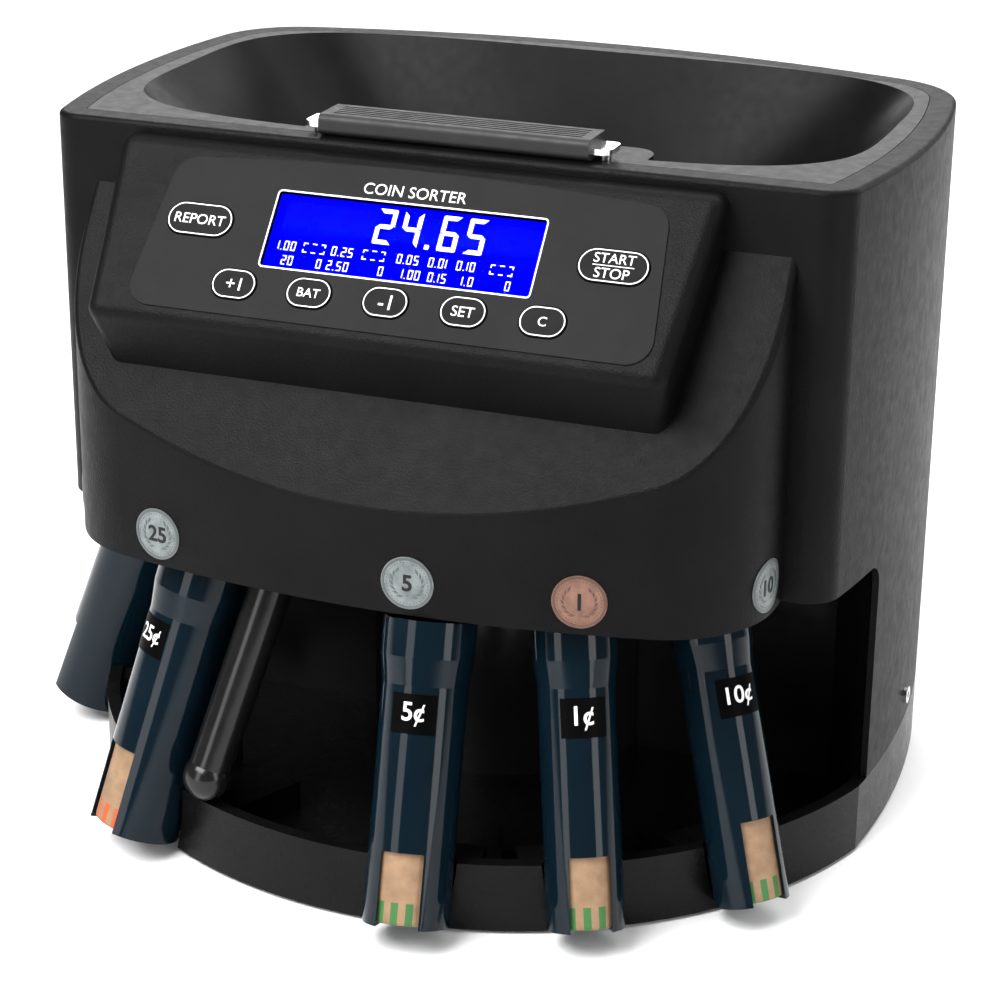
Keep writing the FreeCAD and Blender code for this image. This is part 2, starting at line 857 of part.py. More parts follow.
def console_block(name, inset, sink):
    """The console as a solid: its side profile, narrowed towards its toe.

    Its walls are moved in by the inset; its open back and foot are moved out by the sink.
    """
    outline = [
        (-size("front_flat"), size("console_top")),
        (-size("console_top_depth"), size("console_top")),
        (-size("console_crease_depth"), size("console_crease_height")),
        (-size("console_toe_depth"), size("console_toe_height")),
        (-size("front_flat"), size("slope_high_height")),
    ]
    profile = padded(name + "_profile",
                     polygon(moved_outline(outline, (inset, inset, inset, -sink, -sink))),
                     str(2 * FAR), "YZ_Plane")
    profile.Placement = Placement(Vector(-FAR, 0, 0), Rotation())
    top, toe = size("console_top"), size("console_toe_height")
    flare = (size("console_half_top") - size("console_half_toe")) / (top - toe)
    high, low = top + 2 * BEYOND, toe - 2 * BEYOND
    shift = size("console_shift")
    half_high = size("console_half_top") + (high - top) * flare - inset
    half_low = size("console_half_toe") + (low - toe) * flare - inset
    front_view = padded(name + "_front_view", polygon([
        (shift - half_low, low), (shift + half_low, low),
        (shift + half_high, high), (shift - half_high, high)]), str(FAR), "XZ_Plane")
    return common(name, profile, front_view)


def on_console_front(edge):
    """True of the console's outer edges, away from the wall behind it."""
    points = [vertex.Point for vertex in edge.Vertexes]
    at_front = min(p.y for p in points) < -size("front_flat") - NEAR_POINT
    on_foot = all(abs(p.z - slope_height(p.y)) < NEAR_POINT for p in points)
    return at_front and not on_foot


def make_console():
    """The raised console shell, with holes for the display and the keys."""
    outer = console_block("console_outside", 0.0, 0.0)
    softened = round_edges("console_softened", outer, "console_round", on_console_front)
    inner = console_block("console_inside", size("wall"), size("console_sink"))
    holes = panel_holes("console", size("display_hole_gap"))
    as_subpart(cut("control_console", softened, [inner] + holes), "control_console")


def panel_holes(name, display_gap):
    """Cutting tools for the display and the keys, through the console's face."""
    reach = size("wall") + size("console_sink")
    holes = [placed_pad(name + "_display_hole", display_geometry(display_gap), -reach, reach)]
    gap = 2 * size("key_gap")
    for key, (x, y, width, height) in key_places().items():
        holes.append(placed_pad(f"{name}_hole_{key}", stadium(x, y, width + gap, height + gap),
                                -reach, reach))
    return holes


def make_overlay():
    """The printed sheet on the console's face."""
    bottom, top = -size("overlay_low"), size("overlay_high")
    half_bottom, half_top = size("overlay_half_bottom"), size("overlay_half_top")
    outline = [
        line((half_top, top), (half_bottom, bottom)),
        line((half_bottom, bottom), (-half_bottom, bottom)),
        line((-half_bottom, bottom), (-half_top, top)),
        arc_through((-half_top, top), (0, top + size("overlay_arch")), (half_top, top)),
    ]
    body = new_body("overlay_sheet")
    feature = pad(body, "overlay_pad", outline, "sizes.overlay_thickness")
    body_fillet(body, feature, "overlay_corners", "sizes.overlay_corner", upright)
    body.Placement = panel_frame()
    as_subpart(cut("panel_overlay", body, panel_holes("overlay", size("display_edge_gap"))),
               "panel_overlay")


def make_display():
    """The clear display window and the module behind it."""
    window_back = -size("window_depth")
    window = placed_pad("display_window", display_geometry(0.0), window_back,
                        size("overlay_thickness"))
    as_subpart(window, "display_window")
    module = placed_pad("lcd_module", display_geometry(-size("lcd_inset")),
                        -size("board_depth"), window_back)
    as_subpart(module, "lcd_module")


def make_keys():
    """Seven keys, each a cap through the console's face with a flange behind it."""
    foot = -size("wall") - size("key_clearance") - size("key_flange_thickness")
    top = size("overlay_thickness") + size("key_rise")
    flange = 2 * size("key_flange")
    for name, (x, y, width, height) in key_places().items():
        body = new_body(name)
        pad(body, name + "_flange", stadium(x, y, width + flange, height + flange),
            "sizes.key_flange_thickness", offset=str(foot))
        stem = pad(body, name + "_cap", stadium(x, y, width, height), str(top - foot),
                   offset=str(foot))
        body_fillet(body, stem, name + "_round", "sizes.key_round",
                    lambda e: all(abs(v.Z - top) < SAME_POINT for v in e.Vertexes))
        body.Placement = panel_frame()
        as_subpart(body, name)


def make_key_board():
    """The circuit board behind the panel, with a switch under each key."""
    face = -size("board_depth")
    half_width = size("board_half_width")
    board = placed_pad("key_board_plate",
                       rectangle(-half_width, half_width, -size("board_low"), size("board_high")),
                       face - size("board_thickness"), face)
    half = size("tact_half_width")
    switches = []
    for name, (x, y, _, _) in key_places().items():
        switches.append(placed_pad("tact_" + name, rectangle(x - half, x + half, y - half, y + half),
                                   face - size("board_thickness") / 2, face + size("tact_height")))
    as_subpart(fuse("key_board", [board] + switches), "key_board")


# ---------------------------------------------------------------- hopper

def oval(half_width, half_depth, middle=0.0, power=4.0):
    """A closed smooth curve between an ellipse (power 2) and a rectangle (high powers)."""
    points = []
    for step in range(OVAL_POINTS):
        turn = 2 * math.pi * step / OVAL_POINTS
        across, along = math.cos(turn), math.sin(turn)
        reach = (abs(across) ** power + abs(along) ** power) ** (-1 / power)
        points.append(Vector(half_width * reach * across, middle + half_depth * reach * along, 0))
    curve = Part.BSplineCurve()
    curve.interpolate(points, PeriodicFlag=True)
    return curve


def funnel(name, grow, top, bottom):
    """The funnel between the hopper's mouth and its round throat."""
    body = new_body(name)
    mouth = new_sketch(body, name + "_mouth", offset=top)
    mouth.addGeometry(oval(size("mouth_half_width") + grow, size("mouth_half_depth") + grow,
                           size("mouth_middle")), False)
    throat = new_sketch(body, name + "_throat", offset=bottom)
    radius = size("throat_radius") + grow
    throat.addGeometry(oval(radius, radius, power=2.0), False)
    loft = body.newObject("PartDesign::AdditiveLoft", name + "_loft")
    loft.Profile = mouth
    loft.Sections = [throat]
    loft.Ruled = True
    body.Tip = loft
    return body


def ledge_block(name, inset):
    """The ledge under the handle: a block that leans back to the funnel's front wall."""
    front = -size("front_flat") + size("rim_width") + JOIN
    rear = front + size("ledge_reach") - inset
    top = size("ledge_top") - inset
    foot = top - size("ledge_depth")
    length = size("ledge_left") + size("ledge_right") - 2 * inset
    body = new_body(name)
    feature = pad(body, name + "_pad", polygon([
        (front, top), (rear, top), (rear - size("ledge_lean"), foot), (front, foot)]),
        str(length), "YZ_Plane", str(-size("ledge_left") + inset))
    body_fillet(body, feature, name + "_round", f"sizes.ledge_corner - {inset}",
                lambda e: leaning(e) and max(v.Y for v in e.Vertexes) > rear - NEAR_POINT)
    return body


def leaning(edge):
    """True of a straight edge that climbs and has no run across."""
    first, last = edge.Vertexes[0].Point, edge.Vertexes[-1].Point
    return abs(last.x - first.x) < SAME_POINT and abs(last.z - first.z) > NEAR_POINT


def make_hopper():
    """The hopper tray: plate, funnel and round throat, with the ledge under the handle."""
    wall = size("tray_wall")
    edge = size("rim_width") + size("tray_gap")
    plate = housing_block("tray_plate", edge, "sizes.rim_top - sizes.rim_thickness",
                          "sizes.rim_thickness")
    outside = funnel("tray_outside", wall, f"sizes.rim_top - {JOIN}", "sizes.funnel_bottom")
    inside = funnel("tray_inside", 0.0, f"sizes.rim_top + {SKIN}", "sizes.funnel_bottom")
    pipe = cylinder("throat_outside", "sizes.throat_radius + sizes.tray_wall",
                    f"sizes.funnel_bottom - sizes.throat_bottom + {JOIN}",
                    ("0", "0", "sizes.throat_bottom"))
    bore = cylinder("throat_inside", "sizes.throat_radius",
                    f"sizes.funnel_bottom - sizes.throat_bottom + {2 * BEYOND}",
                    ("0", "0", f"sizes.throat_bottom - {BEYOND}"))
    ledge = ledge_block("ledge_outside", 0.0)
    under_ledge = ledge_block("ledge_inside", wall)
    cavity = cut("tray_cavity", inside, [ledge])
    room = housing_block("tray_room", edge, "sizes.throat_bottom",
                         "sizes.rim_top - sizes.throat_bottom")
    block = common("tray_trimmed", fuse("tray_block", [plate, outside, pipe, ledge]), room)
    as_subpart(cut("hopper_tray", block, [cavity, bore, under_ledge]), "hopper_tray")


def make_handle():
    """A ribbed grip moulded over a flat steel band whose bright ends show."""
    length, width = size("handle_length"), size("handle_width")
    left = size("handle_middle") - length / 2
    front = -size("handle_depth") - width / 2
    low = "sizes.ledge_top + sizes.handle_gap"
    grip = box("grip_block", ("sizes.handle_length", "sizes.handle_width", "sizes.handle_height"),
               (str(left), str(front), low))
    soft = round_edges("grip_soft", grip, "handle_round",
                       lambda e: abs(e.Length - length) < SAME_POINT)
    grooves = []
    pitch = (width - 2 * size("groove_margin") - size("groove_width")) / (GROOVE_COUNT - 1)
    for number in range(GROOVE_COUNT):
        grooves.append(box(
            f"grip_groove_{number}",
            ("sizes.handle_length - 2 * sizes.groove_end", "sizes.groove_width",
             "2 * sizes.groove_depth"),
            (str(left + size("groove_end")), str(front + size("groove_margin") + number * pitch),
             low + " + sizes.handle_height - sizes.groove_depth")))
    corner = (str(size("handle_middle") - size("band_length") / 2),
              str(-size("handle_depth") - size("band_width") / 2),
              "sizes.ledge_top + sizes.band_rise")
    lengths = ("sizes.band_length", "sizes.band_width", "sizes.band_thickness")
    slot = box("grip_slot", lengths, corner)
    as_subpart(cut("carry_handle", soft, grooves + [slot]), "carry_handle")
    rounded = round_edges("band_rounded", box("band_strip", lengths, corner), "band_round", upright)
    feet = []
    for number, side in enumerate((-1, 1)):
        x = size("handle_middle") + side * (size("band_length") / 2 - size("band_foot_inset"))
        feet.append(cylinder(f"band_foot_{number}", "sizes.band_foot_radius",
                             f"sizes.band_rise + {JOIN}",
                             (str(x), "-sizes.handle_depth", "sizes.ledge_top")))
    as_subpart(fuse("handle_band", [rounded] + feet), "handle_band")


# ---------------------------------------------------------------- sorting unit

def make_deck():
    """The fixed plate under the disc, with a hole over each outlet."""
    disc = cylinder("deck_disc", "sizes.deck_radius", "sizes.deck_thickness",
                    ("0", "0", "sizes.deck_bottom"))
    inset = size("wall") + size("deck_gap")
    low = f"sizes.deck_bottom - {BEYOND}"
    room = fuse("deck_room", [
        housing_block("deck_room_rear", inset, low, str(2 * BEYOND)),
        drum_block("deck_room_front", inset, low, -size("front_flat") + BEYOND)])
    plate = common("deck_plate", disc, room)
    holes = [cylinder("deck_bearing_hole", "sizes.bearing_radius", str(2 * BEYOND),
                      ("0", "0", low))]
    for number in range(OUTLET_COUNT):
        hole = cylinder(f"deck_outlet_{number}", f"{GATE_WIDTHS[number]} / 2", str(2 * BEYOND))
        hole.Placement = around(outlet_angle(number), size("outlet_radius"),
                                size("deck_bottom") - BEYOND)
        holes.append(hole)
    as_subpart(cut("sort_deck", plate, holes), "sort_deck")


def make_rail():
    """The rail round the disc, with a gate as wide as its coin at each outlet."""
    top = "sizes.deck_bottom + sizes.deck_thickness"
    ring = cylinder("rail_ring", "sizes.rail_outer", "sizes.rail_height", ("0", "0", top))
    tools = [cylinder("rail_bore", "sizes.rail_inner", str(2 * BEYOND),
                      ("0", "0", "sizes.deck_bottom"))]
    sill = size("deck_bottom") + size("deck_thickness") + size("gate_sill")
    for number in range(OUTLET_COUNT):
        width = GATE_WIDTHS[number]
        gate = box(f"rail_gate_{number}", (str(width), str(3 * BEYOND), "sizes.gate_height"))
        gate.Placement = shifted(
            around(outlet_angle(number), size("rail_outer") + BEYOND, sill), x=-width / 2)
        tools.append(gate)
    as_subpart(cut("sort_rail", ring, tools), "sort_rail")


def make_sensors():
    """A counting sensor on the rail over each gate that has a tube."""
    top = size("deck_bottom") + size("deck_thickness") + size("rail_height")
    blocks = []
    for coin, (number, _, _, _) in TUBES.items():
        block = box("sensor_" + coin,
                    ("sizes.sensor_width", "sizes.sensor_depth", "sizes.sensor_height"))
        block.Placement = shifted(around(outlet_angle(number), size("sensor_outer"), top),
                                  x=-size("sensor_width") / 2)
        blocks.append(block)
    as_subpart(group("coin_sensors", blocks), "coin_sensors")


def make_bearing():
    """A flanged bush in the deck for the spindle."""
    deck_top = size("deck_bottom") + size("deck_thickness")
    inner = size("spindle_radius") + size("running_gap")
    outer = size("bearing_radius")
    low = (size("pulley_bottom") + size("pulley_height") + size("pulley_flange")
           + size("bearing_gap"))
    flange = outer + size("bearing_flange")
    flange_top = deck_top + size("bearing_flange_thickness")
    bearing = revolved("spindle_bearing", [
        (inner, low), (outer, low), (outer, deck_top), (flange, deck_top),
        (flange, flange_top), (inner, flange_top)])
    as_subpart(bearing, "spindle_bearing")


def make_spindle():
    """The upright shaft that carries the disc and its pulley."""
    top = size("disc_bottom") + size("disc_thickness")
    radius, chamfer = size("spindle_radius"), size("spindle_chamfer")
    low = size("pulley_bottom") - size("spindle_end")
    bar = revolved("spindle", [(0, low), (radius - chamfer, low), (radius, low + chamfer),
                               (radius, top), (0, top)])
    as_subpart(bar, "spindle")


def make_disc():
    """The turning disc with its hub below and its driving fins on top."""
    low, thick = size("disc_bottom"), size("disc_thickness")
    bore, edge = size("spindle_radius"), size("disc_radius")
    hub, chamfer = size("disc_hub_radius"), size("disc_edge")
    hub_low = size("deck_bottom") + size("deck_thickness") + size("disc_hub_gap")
    plate = revolved("disc_plate", [
        (bore, hub_low), (hub, hub_low), (hub, low), (edge - chamfer, low),
        (edge, low + chamfer), (edge, low + thick), (bore, low + thick)])
    fins = []
    for number in range(FIN_COUNT):
        fin = box(f"disc_fin_{number}",
                  ("sizes.fin_width", "sizes.fin_length", f"sizes.fin_height + {JOIN}"))
        fin.Placement = shifted(
            around(number * FULL_TURN / FIN_COUNT, size("fin_outer"), low + thick - JOIN),
            x=-size("fin_width") / 2)
        fins.append(fin)
    as_subpart(fuse("sort_disc", [plate] + fins), "sort_disc")


# outline of the domed cap over the disc's middle: radius and height above the disc
CAP_OUTLINE = ((0, 0), (22, 0), (22, 4), (17, 11), (9, 15), (0, 16))


def make_disc_cap():
    """The domed cap over the disc's middle."""
    low = size("disc_bottom") + size("disc_thickness")
    cap = revolved("disc_cap", [(radius, low + height) for radius, height in CAP_OUTLINE])
    as_subpart(cap, "disc_cap")


def pulley(name, bore, radius, x, y):
    """A flat-belt pulley with a flange at each end."""
    low, height = size("pulley_bottom"), size("pulley_height")
    rim = size("pulley_flange")
    lip = radius + size("pulley_lip")
    body = revolved(name, [(bore, low - rim), (lip, low - rim), (lip, low), (radius, low),
                           (radius, low + height), (lip, low + height),
                           (lip, low + height + rim), (bore, low + height + rim)])
    body.Placement = Placement(Vector(x, y, 0), Rotation())
    as_subpart(body, name)


def loop_outline(big, small):
    """The outline of a band stretched round two circles on the Y axis."""
    distance = size("motor_offset")
    lean = math.asin((big - small) / distance)
    across, along = math.cos(lean), math.sin(lean)
    right_big, right_small = (big * across, big * along), (small * across,
                                                           distance + small * along)
    left_big, left_small = (-right_big[0], right_big[1]), (-right_small[0], right_small[1])
    return [
        line(right_big, right_small),
        arc_through(right_small, (0, distance + small), left_small),
        line(left_small, left_big),
        arc_through(left_big, (0, -big), right_big),
    ]


def make_belt():
    """The flat drive belt, as a still loop."""
    big = size("disc_pulley_radius") + size("belt_gap")
    small = size("motor_pulley_radius") + size("belt_gap")
    thick = size("belt_thickness")
    low = "sizes.pulley_bottom + sizes.belt_margin"
    height = "sizes.pulley_height - 2 * sizes.belt_margin"
    outer = padded("belt_outside", loop_outline(big + thick, small + thick), height, offset=low)
    inner = padded("belt_inside", loop_outline(big, small), height, offset=low)
    as_subpart(cut("drive_belt", outer, [inner]), "drive_belt")


def make_motor():
    """The gear motor, its shaft and the two pulleys."""
    y = size("motor_offset")
    top = size("motor_top")
    low = top - size("motor_length")
    can, chamfer = size("motor_radius"), size("motor_chamfer")
    shaft = size("motor_shaft_radius")
    bore = shaft + size("running_gap")
    bore_low = top - size("motor_shaft_sink")
    seam_low, seam_high = top - size("motor_seam_low"), top - size("motor_seam_high")
    depth = size("motor_seam_depth")
    seam = can - depth
    motor = revolved("gear_motor", [
        (0, low), (can - chamfer, low), (can, low + chamfer), (can, seam_low),
        (seam, seam_low + depth), (seam, seam_high - depth), (can, seam_high),
        (can, top), (bore, top), (bore, bore_low), (0, bore_low)])
    motor.Placement = Placement(Vector(0, y, 0), Rotation())
    as_subpart(motor, "gear_motor")
    shaft_top = size("pulley_bottom") + size("pulley_height") + size("pulley_flange")
    shaft_low = bore_low + size("motor_shaft_gap")
    bar = revolved("motor_shaft", [(0, shaft_low), (shaft, shaft_low), (shaft, shaft_top),
                                   (0, shaft_top)])
    bar.Placement = Placement(Vector(0, y, 0), Rotation())
    as_subpart(bar, "motor_shaft")
    pulley("motor_pulley", shaft, size("motor_pulley_radius"), 0.0, y)
    pulley("disc_pulley", size("spindle_radius"), size("disc_pulley_radius"), 0.0, 0.0)


def make_motor_bracket():
    """The plate that hangs the motor from the deck on four posts."""
    plate = box("bracket_plate",
                ("sizes.bracket_length", "sizes.bracket_width", "sizes.bracket_thickness"),
                ("-sizes.bracket_length / 2", "sizes.motor_offset - sizes.bracket_width / 2",
                 "sizes.motor_top"))
    shaft_hole = cylinder("bracket_hole", "sizes.motor_shaft_radius + sizes.bracket_hole_gap",
                          str(2 * BEYOND), ("0", "sizes.motor_offset", f"sizes.motor_top - {BEYOND}"))
    posts = []
    for side in (-1, 1):
        for end in (-1, 1):
            posts.append(cylinder(
                f"bracket_post_{len(posts)}", "sizes.bracket_post_radius",
                "sizes.deck_bottom - sizes.motor_top",
                (f"{side} * sizes.bracket_post_x",
                 f"sizes.motor_offset + {end} * sizes.bracket_post_y", "sizes.motor_top")))
    as_subpart(cut("motor_bracket", fuse("bracket_solid", [plate] + posts), [shaft_hole]),
               "motor_bracket")


# ---------------------------------------------------------------- bay

def make_bay_wall():
    """The bay's back wall, bulged round the drive and turned out at its ends to the flanks."""
    wall = size("wall")
    back = -size("bay_back")
    tower = size("tower_radius")
    inner = tower - wall
    left_x = side_edge(wall, -size("left_opening_rear")) - size("bay_end_gap")
    right_x = side_edge(wall, -size("right_opening_rear")) - size("bay_end_gap")
    left_y, right_y = -size("left_opening_rear"), -size("right_opening_rear")
    bend = size("bay_bend")
    front_x = math.sqrt(tower ** 2 - back ** 2)
    rear_x = math.sqrt(inner ** 2 - (back + wall) ** 2)
    geometry = [
        line((-left_x, left_y), (-bend, back)),
        line((-bend, back), (-front_x, back)),
        arc_through((-front_x, back), (0, -tower), (front_x, back)),
        line((front_x, back), (bend, back)),
        line((bend, back), (right_x, right_y)),
        line((right_x, right_y), (right_x, right_y + 2 * wall)),
        line((right_x, right_y + 2 * wall), (bend + wall / 2, back + wall)),
        line((bend + wall / 2, back + wall), (rear_x, back + wall)),
        arc_through((rear_x, back + wall), (0, -inner), (-rear_x, back + wall)),
        line((-rear_x, back + wall), (-bend - wall / 2, back + wall)),
        line((-bend - wall / 2, back + wall), (-left_x, left_y + wall)),
        line((-left_x, left_y + wall), (-left_x, left_y)),
    ]
    body = padded("bay_wall_sheet", geometry, "sizes.deck_bottom - sizes.floor_top",
                  offset="sizes.floor_top")
    clear = size("ring_wall") + size("seat_gap")
    ring_room = cut("bay_ring_room",
                    base_block("bay_ring_outside", 0.0, "0", "sizes.ring_top + sizes.seat_gap"),
                    [base_block("bay_ring_inside", clear, "0", "sizes.deck_bottom")])
    saddle_room = box("bay_saddle_room", ("sizes.saddle_room_width", "sizes.saddle_room_depth",
                                          "sizes.ring_top + sizes.seat_gap"))
    saddle_room.Placement = shifted(around(outlet_angle(0), size("saddle_room_outer"), 0.0),
                                    x=-size("saddle_room_width") / 2)
    as_subpart(cut("bay_wall", body, [ring_room, saddle_room]), "bay_wall")


def make_reject_chute():
    """A round arm that leads rejected coins down to a rounded foot over the ring."""
    foot = around(size("chute_foot_angle"), size("chute_foot_reach"), size("chute_foot_height"))
    head = around(size("chute_head_angle"), size("outlet_radius"), size("deck_bottom"))
    run = head.Base - foot.Base
    turn = Rotation(Vector(0, 0, 1), run)
    arm = cylinder("chute_arm", "sizes.chute_radius", str(run.Length))
    arm.Placement = Placement(foot.Base, turn)
    ball = document.addObject("Part::Sphere", "chute_foot")
    bind(ball, {"Radius": "sizes.chute_foot_radius"})
    ball.Placement = Placement(foot.Base, Rotation())
    bore = cylinder("chute_bore", "sizes.chute_bore", str(run.Length + BEYOND))
    bore.Placement = Placement(foot.Base, turn)
    above = box("chute_above", (str(2 * FAR), str(2 * FAR), str(FAR)),
                (str(-FAR), str(-FAR), "sizes.deck_bottom"))
    as_subpart(cut("reject_chute", fuse("chute_solid", [arm, ball]), [bore, above]),
               "reject_chute")


def make_tube_stops():
    """Plates under the deck that the tube collars lean on."""
    lean = math.radians(size("tube_lean"))
    climb = size("stop_touch_height") - size("tube_foot_height")
    axis = size("tube_foot_radius") - climb * math.tan(lean)
    stops = []
    for coin, (number, radius, _, _) in TUBES.items():
        collar = (radius + size("collar_rise")) / math.cos(lean)
        reach = axis - collar - size("stop_gap") - size("stop_thickness")
        stop = box("stop_" + coin, ("sizes.stop_width", "sizes.stop_thickness", "sizes.stop_height"))
        stop.Placement = shifted(
            around(outlet_angle(number), reach, size("deck_bottom") - size("stop_height")),
            x=-size("stop_width") / 2)
        stops.append(stop)
    as_subpart(group("tube_stops", stops), "tube_stops")


def make_bay_screws():
    """Bright screws: two in the bay's wall and one low on each flank."""
    y = size("flank_screw_depth")
    places = []
    for side in (-1, 1):
        places.append(Placement(
            Vector(side * size("bay_screw_x"), -size("bay_back"), size("bay_screw_height")),
            Rotation(Vector(1, 0, 0), 90)))
        places.append(Placement(
            Vector(side * (side_edge(0.0, y) + size("flank_screw_gap")), y,
                   size("flank_screw_height")),
            Rotation(Vector(0, 1, 0), 90 * side)))
    screws = []
    for number, place in enumerate(places):
        head = cylinder(f"bay_screw_head_{number}", "sizes.screw_radius", "sizes.screw_height")
        head.Placement = place
        socket = cylinder(f"bay_screw_socket_{number}", "sizes.screw_socket_radius",
                          "2 * sizes.screw_socket_depth")
        socket.Placement = shifted(place, z=size("screw_height") - size("screw_socket_depth"))
        screws.append(cut(f"bay_screw_{number}", head, [socket]))
    as_subpart(group("housing_screws", screws), "housing_screws")


# ---------------------------------------------------------------- coin tubes

def tube_length(coin):
    """Length that brings the high side of the leaning mouth just under the deck."""
    lean = math.radians(size("tube_lean"))
    mouth = tube_radius(coin) + size("collar_rise")
    return (size("tube_top") - size("tube_foot_height") - mouth * math.sin(lean)) / math.cos(lean)


def make_tube(coin):
    """A leaning coin tube with a closed foot, a collar and an open window in front."""
    _, radius, slot_width, slot_height = TUBES[coin]
    wall = size("tube_wall")
    length = tube_length(coin)
    flare = size("collar_rise")
    straight = length - size("collar_height") - size("collar_taper")
    neck = length - size("collar_height")
    inner = radius - wall
    profile = [
        (0, 0), (radius, 0), (radius, straight), (radius + flare, neck), (radius + flare, length),
        (inner + flare, length), (inner + flare, neck), (inner, straight), (inner, wall), (0, wall)]
    body = revolved("tube_blank_" + coin, profile)
    body.Placement = tube_placement(coin)
    slot = box("tube_slot_" + coin, (str(slot_width), str(BEYOND), str(slot_height + BEYOND)))
    slot.Placement = shifted(tube_placement(coin), x=-slot_width / 2,
                             y=-BEYOND - size("slot_depth"), z=-BEYOND)
    as_subpart(cut("tube_" + coin, body, [slot]), "tube_" + coin)


def make_wrapper(coin):
    """A paper coin wrapper standing in its tube, with its foot folded in."""
    outer = tube_radius(coin) - size("tube_wall") - size("wrapper_gap")
    inner = outer - size("wrapper_wall")
    low = size("tube_wall")
    high = low + size("wrapper_height")
    crimp = outer - size("wrapper_crimp")
    fold = low + size("wrapper_fold")
    body = revolved("wrapper_" + coin, [
        (crimp, low), (outer, low), (outer, high), (inner, high), (inner, fold), (crimp, fold)])
    body.Placement = tube_placement(coin)
    as_subpart(body, "wrapper_" + coin)


def make_label(coin):
    """The small label on the front of a tube."""
    inner, outer = tube_radius(coin), tube_radius(coin) + size("label_thickness")
    low = size("label_foot")
    high = low + size("label_height")
    skin = revolved("label_skin_" + coin, [(inner, low), (outer, low), (outer, high),
                                           (inner, high)])
    skin.Placement = tube_placement(coin)
    window = box("label_window_" + coin, ("sizes.label_width", str(2 * BEYOND), str(FAR)))
    window.Placement = shifted(tube_placement(coin), x=-size("label_width") / 2, y=-2 * BEYOND)
    as_subpart(common("label_" + coin, skin, window), "label_" + coin)


# ---------------------------------------------------------------- stickers

# each sticker's middle in plan, and the direction it faces, from -Y towards +X
STICKERS = {
    "left": ((-131.0, -106.0), -75.0),
    "25c": ((-85.0, -142.9), -11.4),
    "5c": ((16.0, -151.2), 2.1),
    "1c": ((77.0, -144.5), 10.3),
    "10c": ((131.0, -106.0), 75.0),
}


def make_stickers():
    """Round stickers on the drum's wall, one over each tube."""
    gap, reach = size("sticker_gap"), size("sticker_punch")
    rear = -size("front_flat")
    over = drum_block("sticker_over", -gap - size("sticker_thickness"), "sizes.skirt_bottom", rear)
    under = drum_block("sticker_under", -gap, "sizes.skirt_bottom", rear)
    skin = cut("sticker_skin", over, [under])
    discs = []
    for name, ((x, y), facing) in STICKERS.items():
        turn = math.radians(facing)
        outward = Vector(math.sin(turn), -math.cos(turn), 0)
        start = Vector(x, y, size("sticker_height")) - outward * reach
        punch = cylinder("sticker_punch_" + name, "sizes.sticker_radius", str(2 * reach))
        punch.Placement = Placement(start, Rotation(Vector(0, 0, 1), outward))
        discs.append(common("sticker_" + name, skin, punch))
    as_subpart(group("coin_stickers", discs), "coin_stickers")


# ---------------------------------------------------------------- electrics

def rear_fitting(fitting):
    """A flanged shell on the back with an open cavity."""
    values = REAR_FITTINGS[fitting]
    gap = size("rear_fitting_gap")
    flange = rear_block(fitting, "flange", gap, gap + values["flange_thickness"])
    shell = rear_block(fitting, "shell", -values["shell_depth"], gap + SKIN)
    cavity = rear_block(fitting, "cavity", -values["cavity_depth"], BEYOND)
    return cut(fitting + "_body", fuse(fitting + "_solid", [flange, shell]), [cavity])


def make_power_inlet():
    """The two-pin mains inlet."""
    place = rear_place(REAR_FITTINGS["inlet"]["x"])
    pins = []
    for number, side in enumerate((-1, 1)):
        pin = cylinder(f"inlet_pin_{number}", "sizes.pin_radius", "sizes.pin_length")
        pin.Placement = place.multiply(
            Placement(Vector(side * size("pin_spread"), -size("pin_back"), 0),
                      Rotation(Vector(1, 0, 0), -90)))
        pins.append(pin)
    as_subpart(fuse("power_inlet", [rear_fitting("inlet")] + pins), "power_inlet")


def make_switch():
    """The power switch: its frame and its rocker, which is a drum with two flats."""
    as_subpart(rear_fitting("switch"), "switch_frame")
    half, depth = size("rocker_half_width"), size("rocker_pivot_depth")
    place = rear_place(REAR_FITTINGS["switch"]["x"])
    drum = cylinder("rocker_drum", "sizes.rocker_radius", "2 * sizes.rocker_half_width")
    drum.Placement = place.multiply(Placement(Vector(-half, -depth, 0),
                                              Rotation(Vector(0, 1, 0), 90)))
    flats = []
    for number, turn in enumerate((0.0, -size("rocker_throw"))):
        flat = box(f"rocker_flat_{number}", (str(BEYOND), str(BEYOND), str(2 * BEYOND)))
        centre = place.multiply(Placement(Vector(0, -depth, 0), Rotation(Vector(1, 0, 0), turn)))
        flat.Placement = shifted(centre, x=-BEYOND / 2, y=size("rocker_flat"), z=-BEYOND)
        flats.append(flat)
    as_subpart(cut("power_rocker", drum, flats), "power_rocker")


def make_data_port():
    """The data socket."""
    as_subpart(rear_fitting("port"), "data_port")


# blocks of the main board, as (corner, lengths): the bare plate, then its four parts
MAIN_BOARD = (
    ((38, 76, 16), (88, 1.6, 78)),
    ((46, 70, 30), (24, 6.2, 24)),
    ((80, 72, 62), (30, 4.2, 12)),
    ((84, 66, 26), (16, 10.2, 16)),
    ((107, 68, 40), (14, 8.2, 30)),
)
# blocks of the power supply, as (corner, lengths): its plate, core and coil
POWER_SUPPLY = (
    ((-131, 26, 8), (76, 44, 3)),
    ((-122, 26, 11), (58, 44, 40)),
    ((-110, 20, 18), (34, 56, 26)),
)


def fused_blocks(name, blocks):
    """One sub-part fused from blocks, each given by its corner and its lengths."""
    pieces = [box(f"{name}_block_{n}", tuple(map(str, lengths)), tuple(map(str, corner)))
              for n, (corner, lengths) in enumerate(blocks)]
    as_subpart(fuse(name, pieces), name)


# ---------------------------------------------------------------- assembly

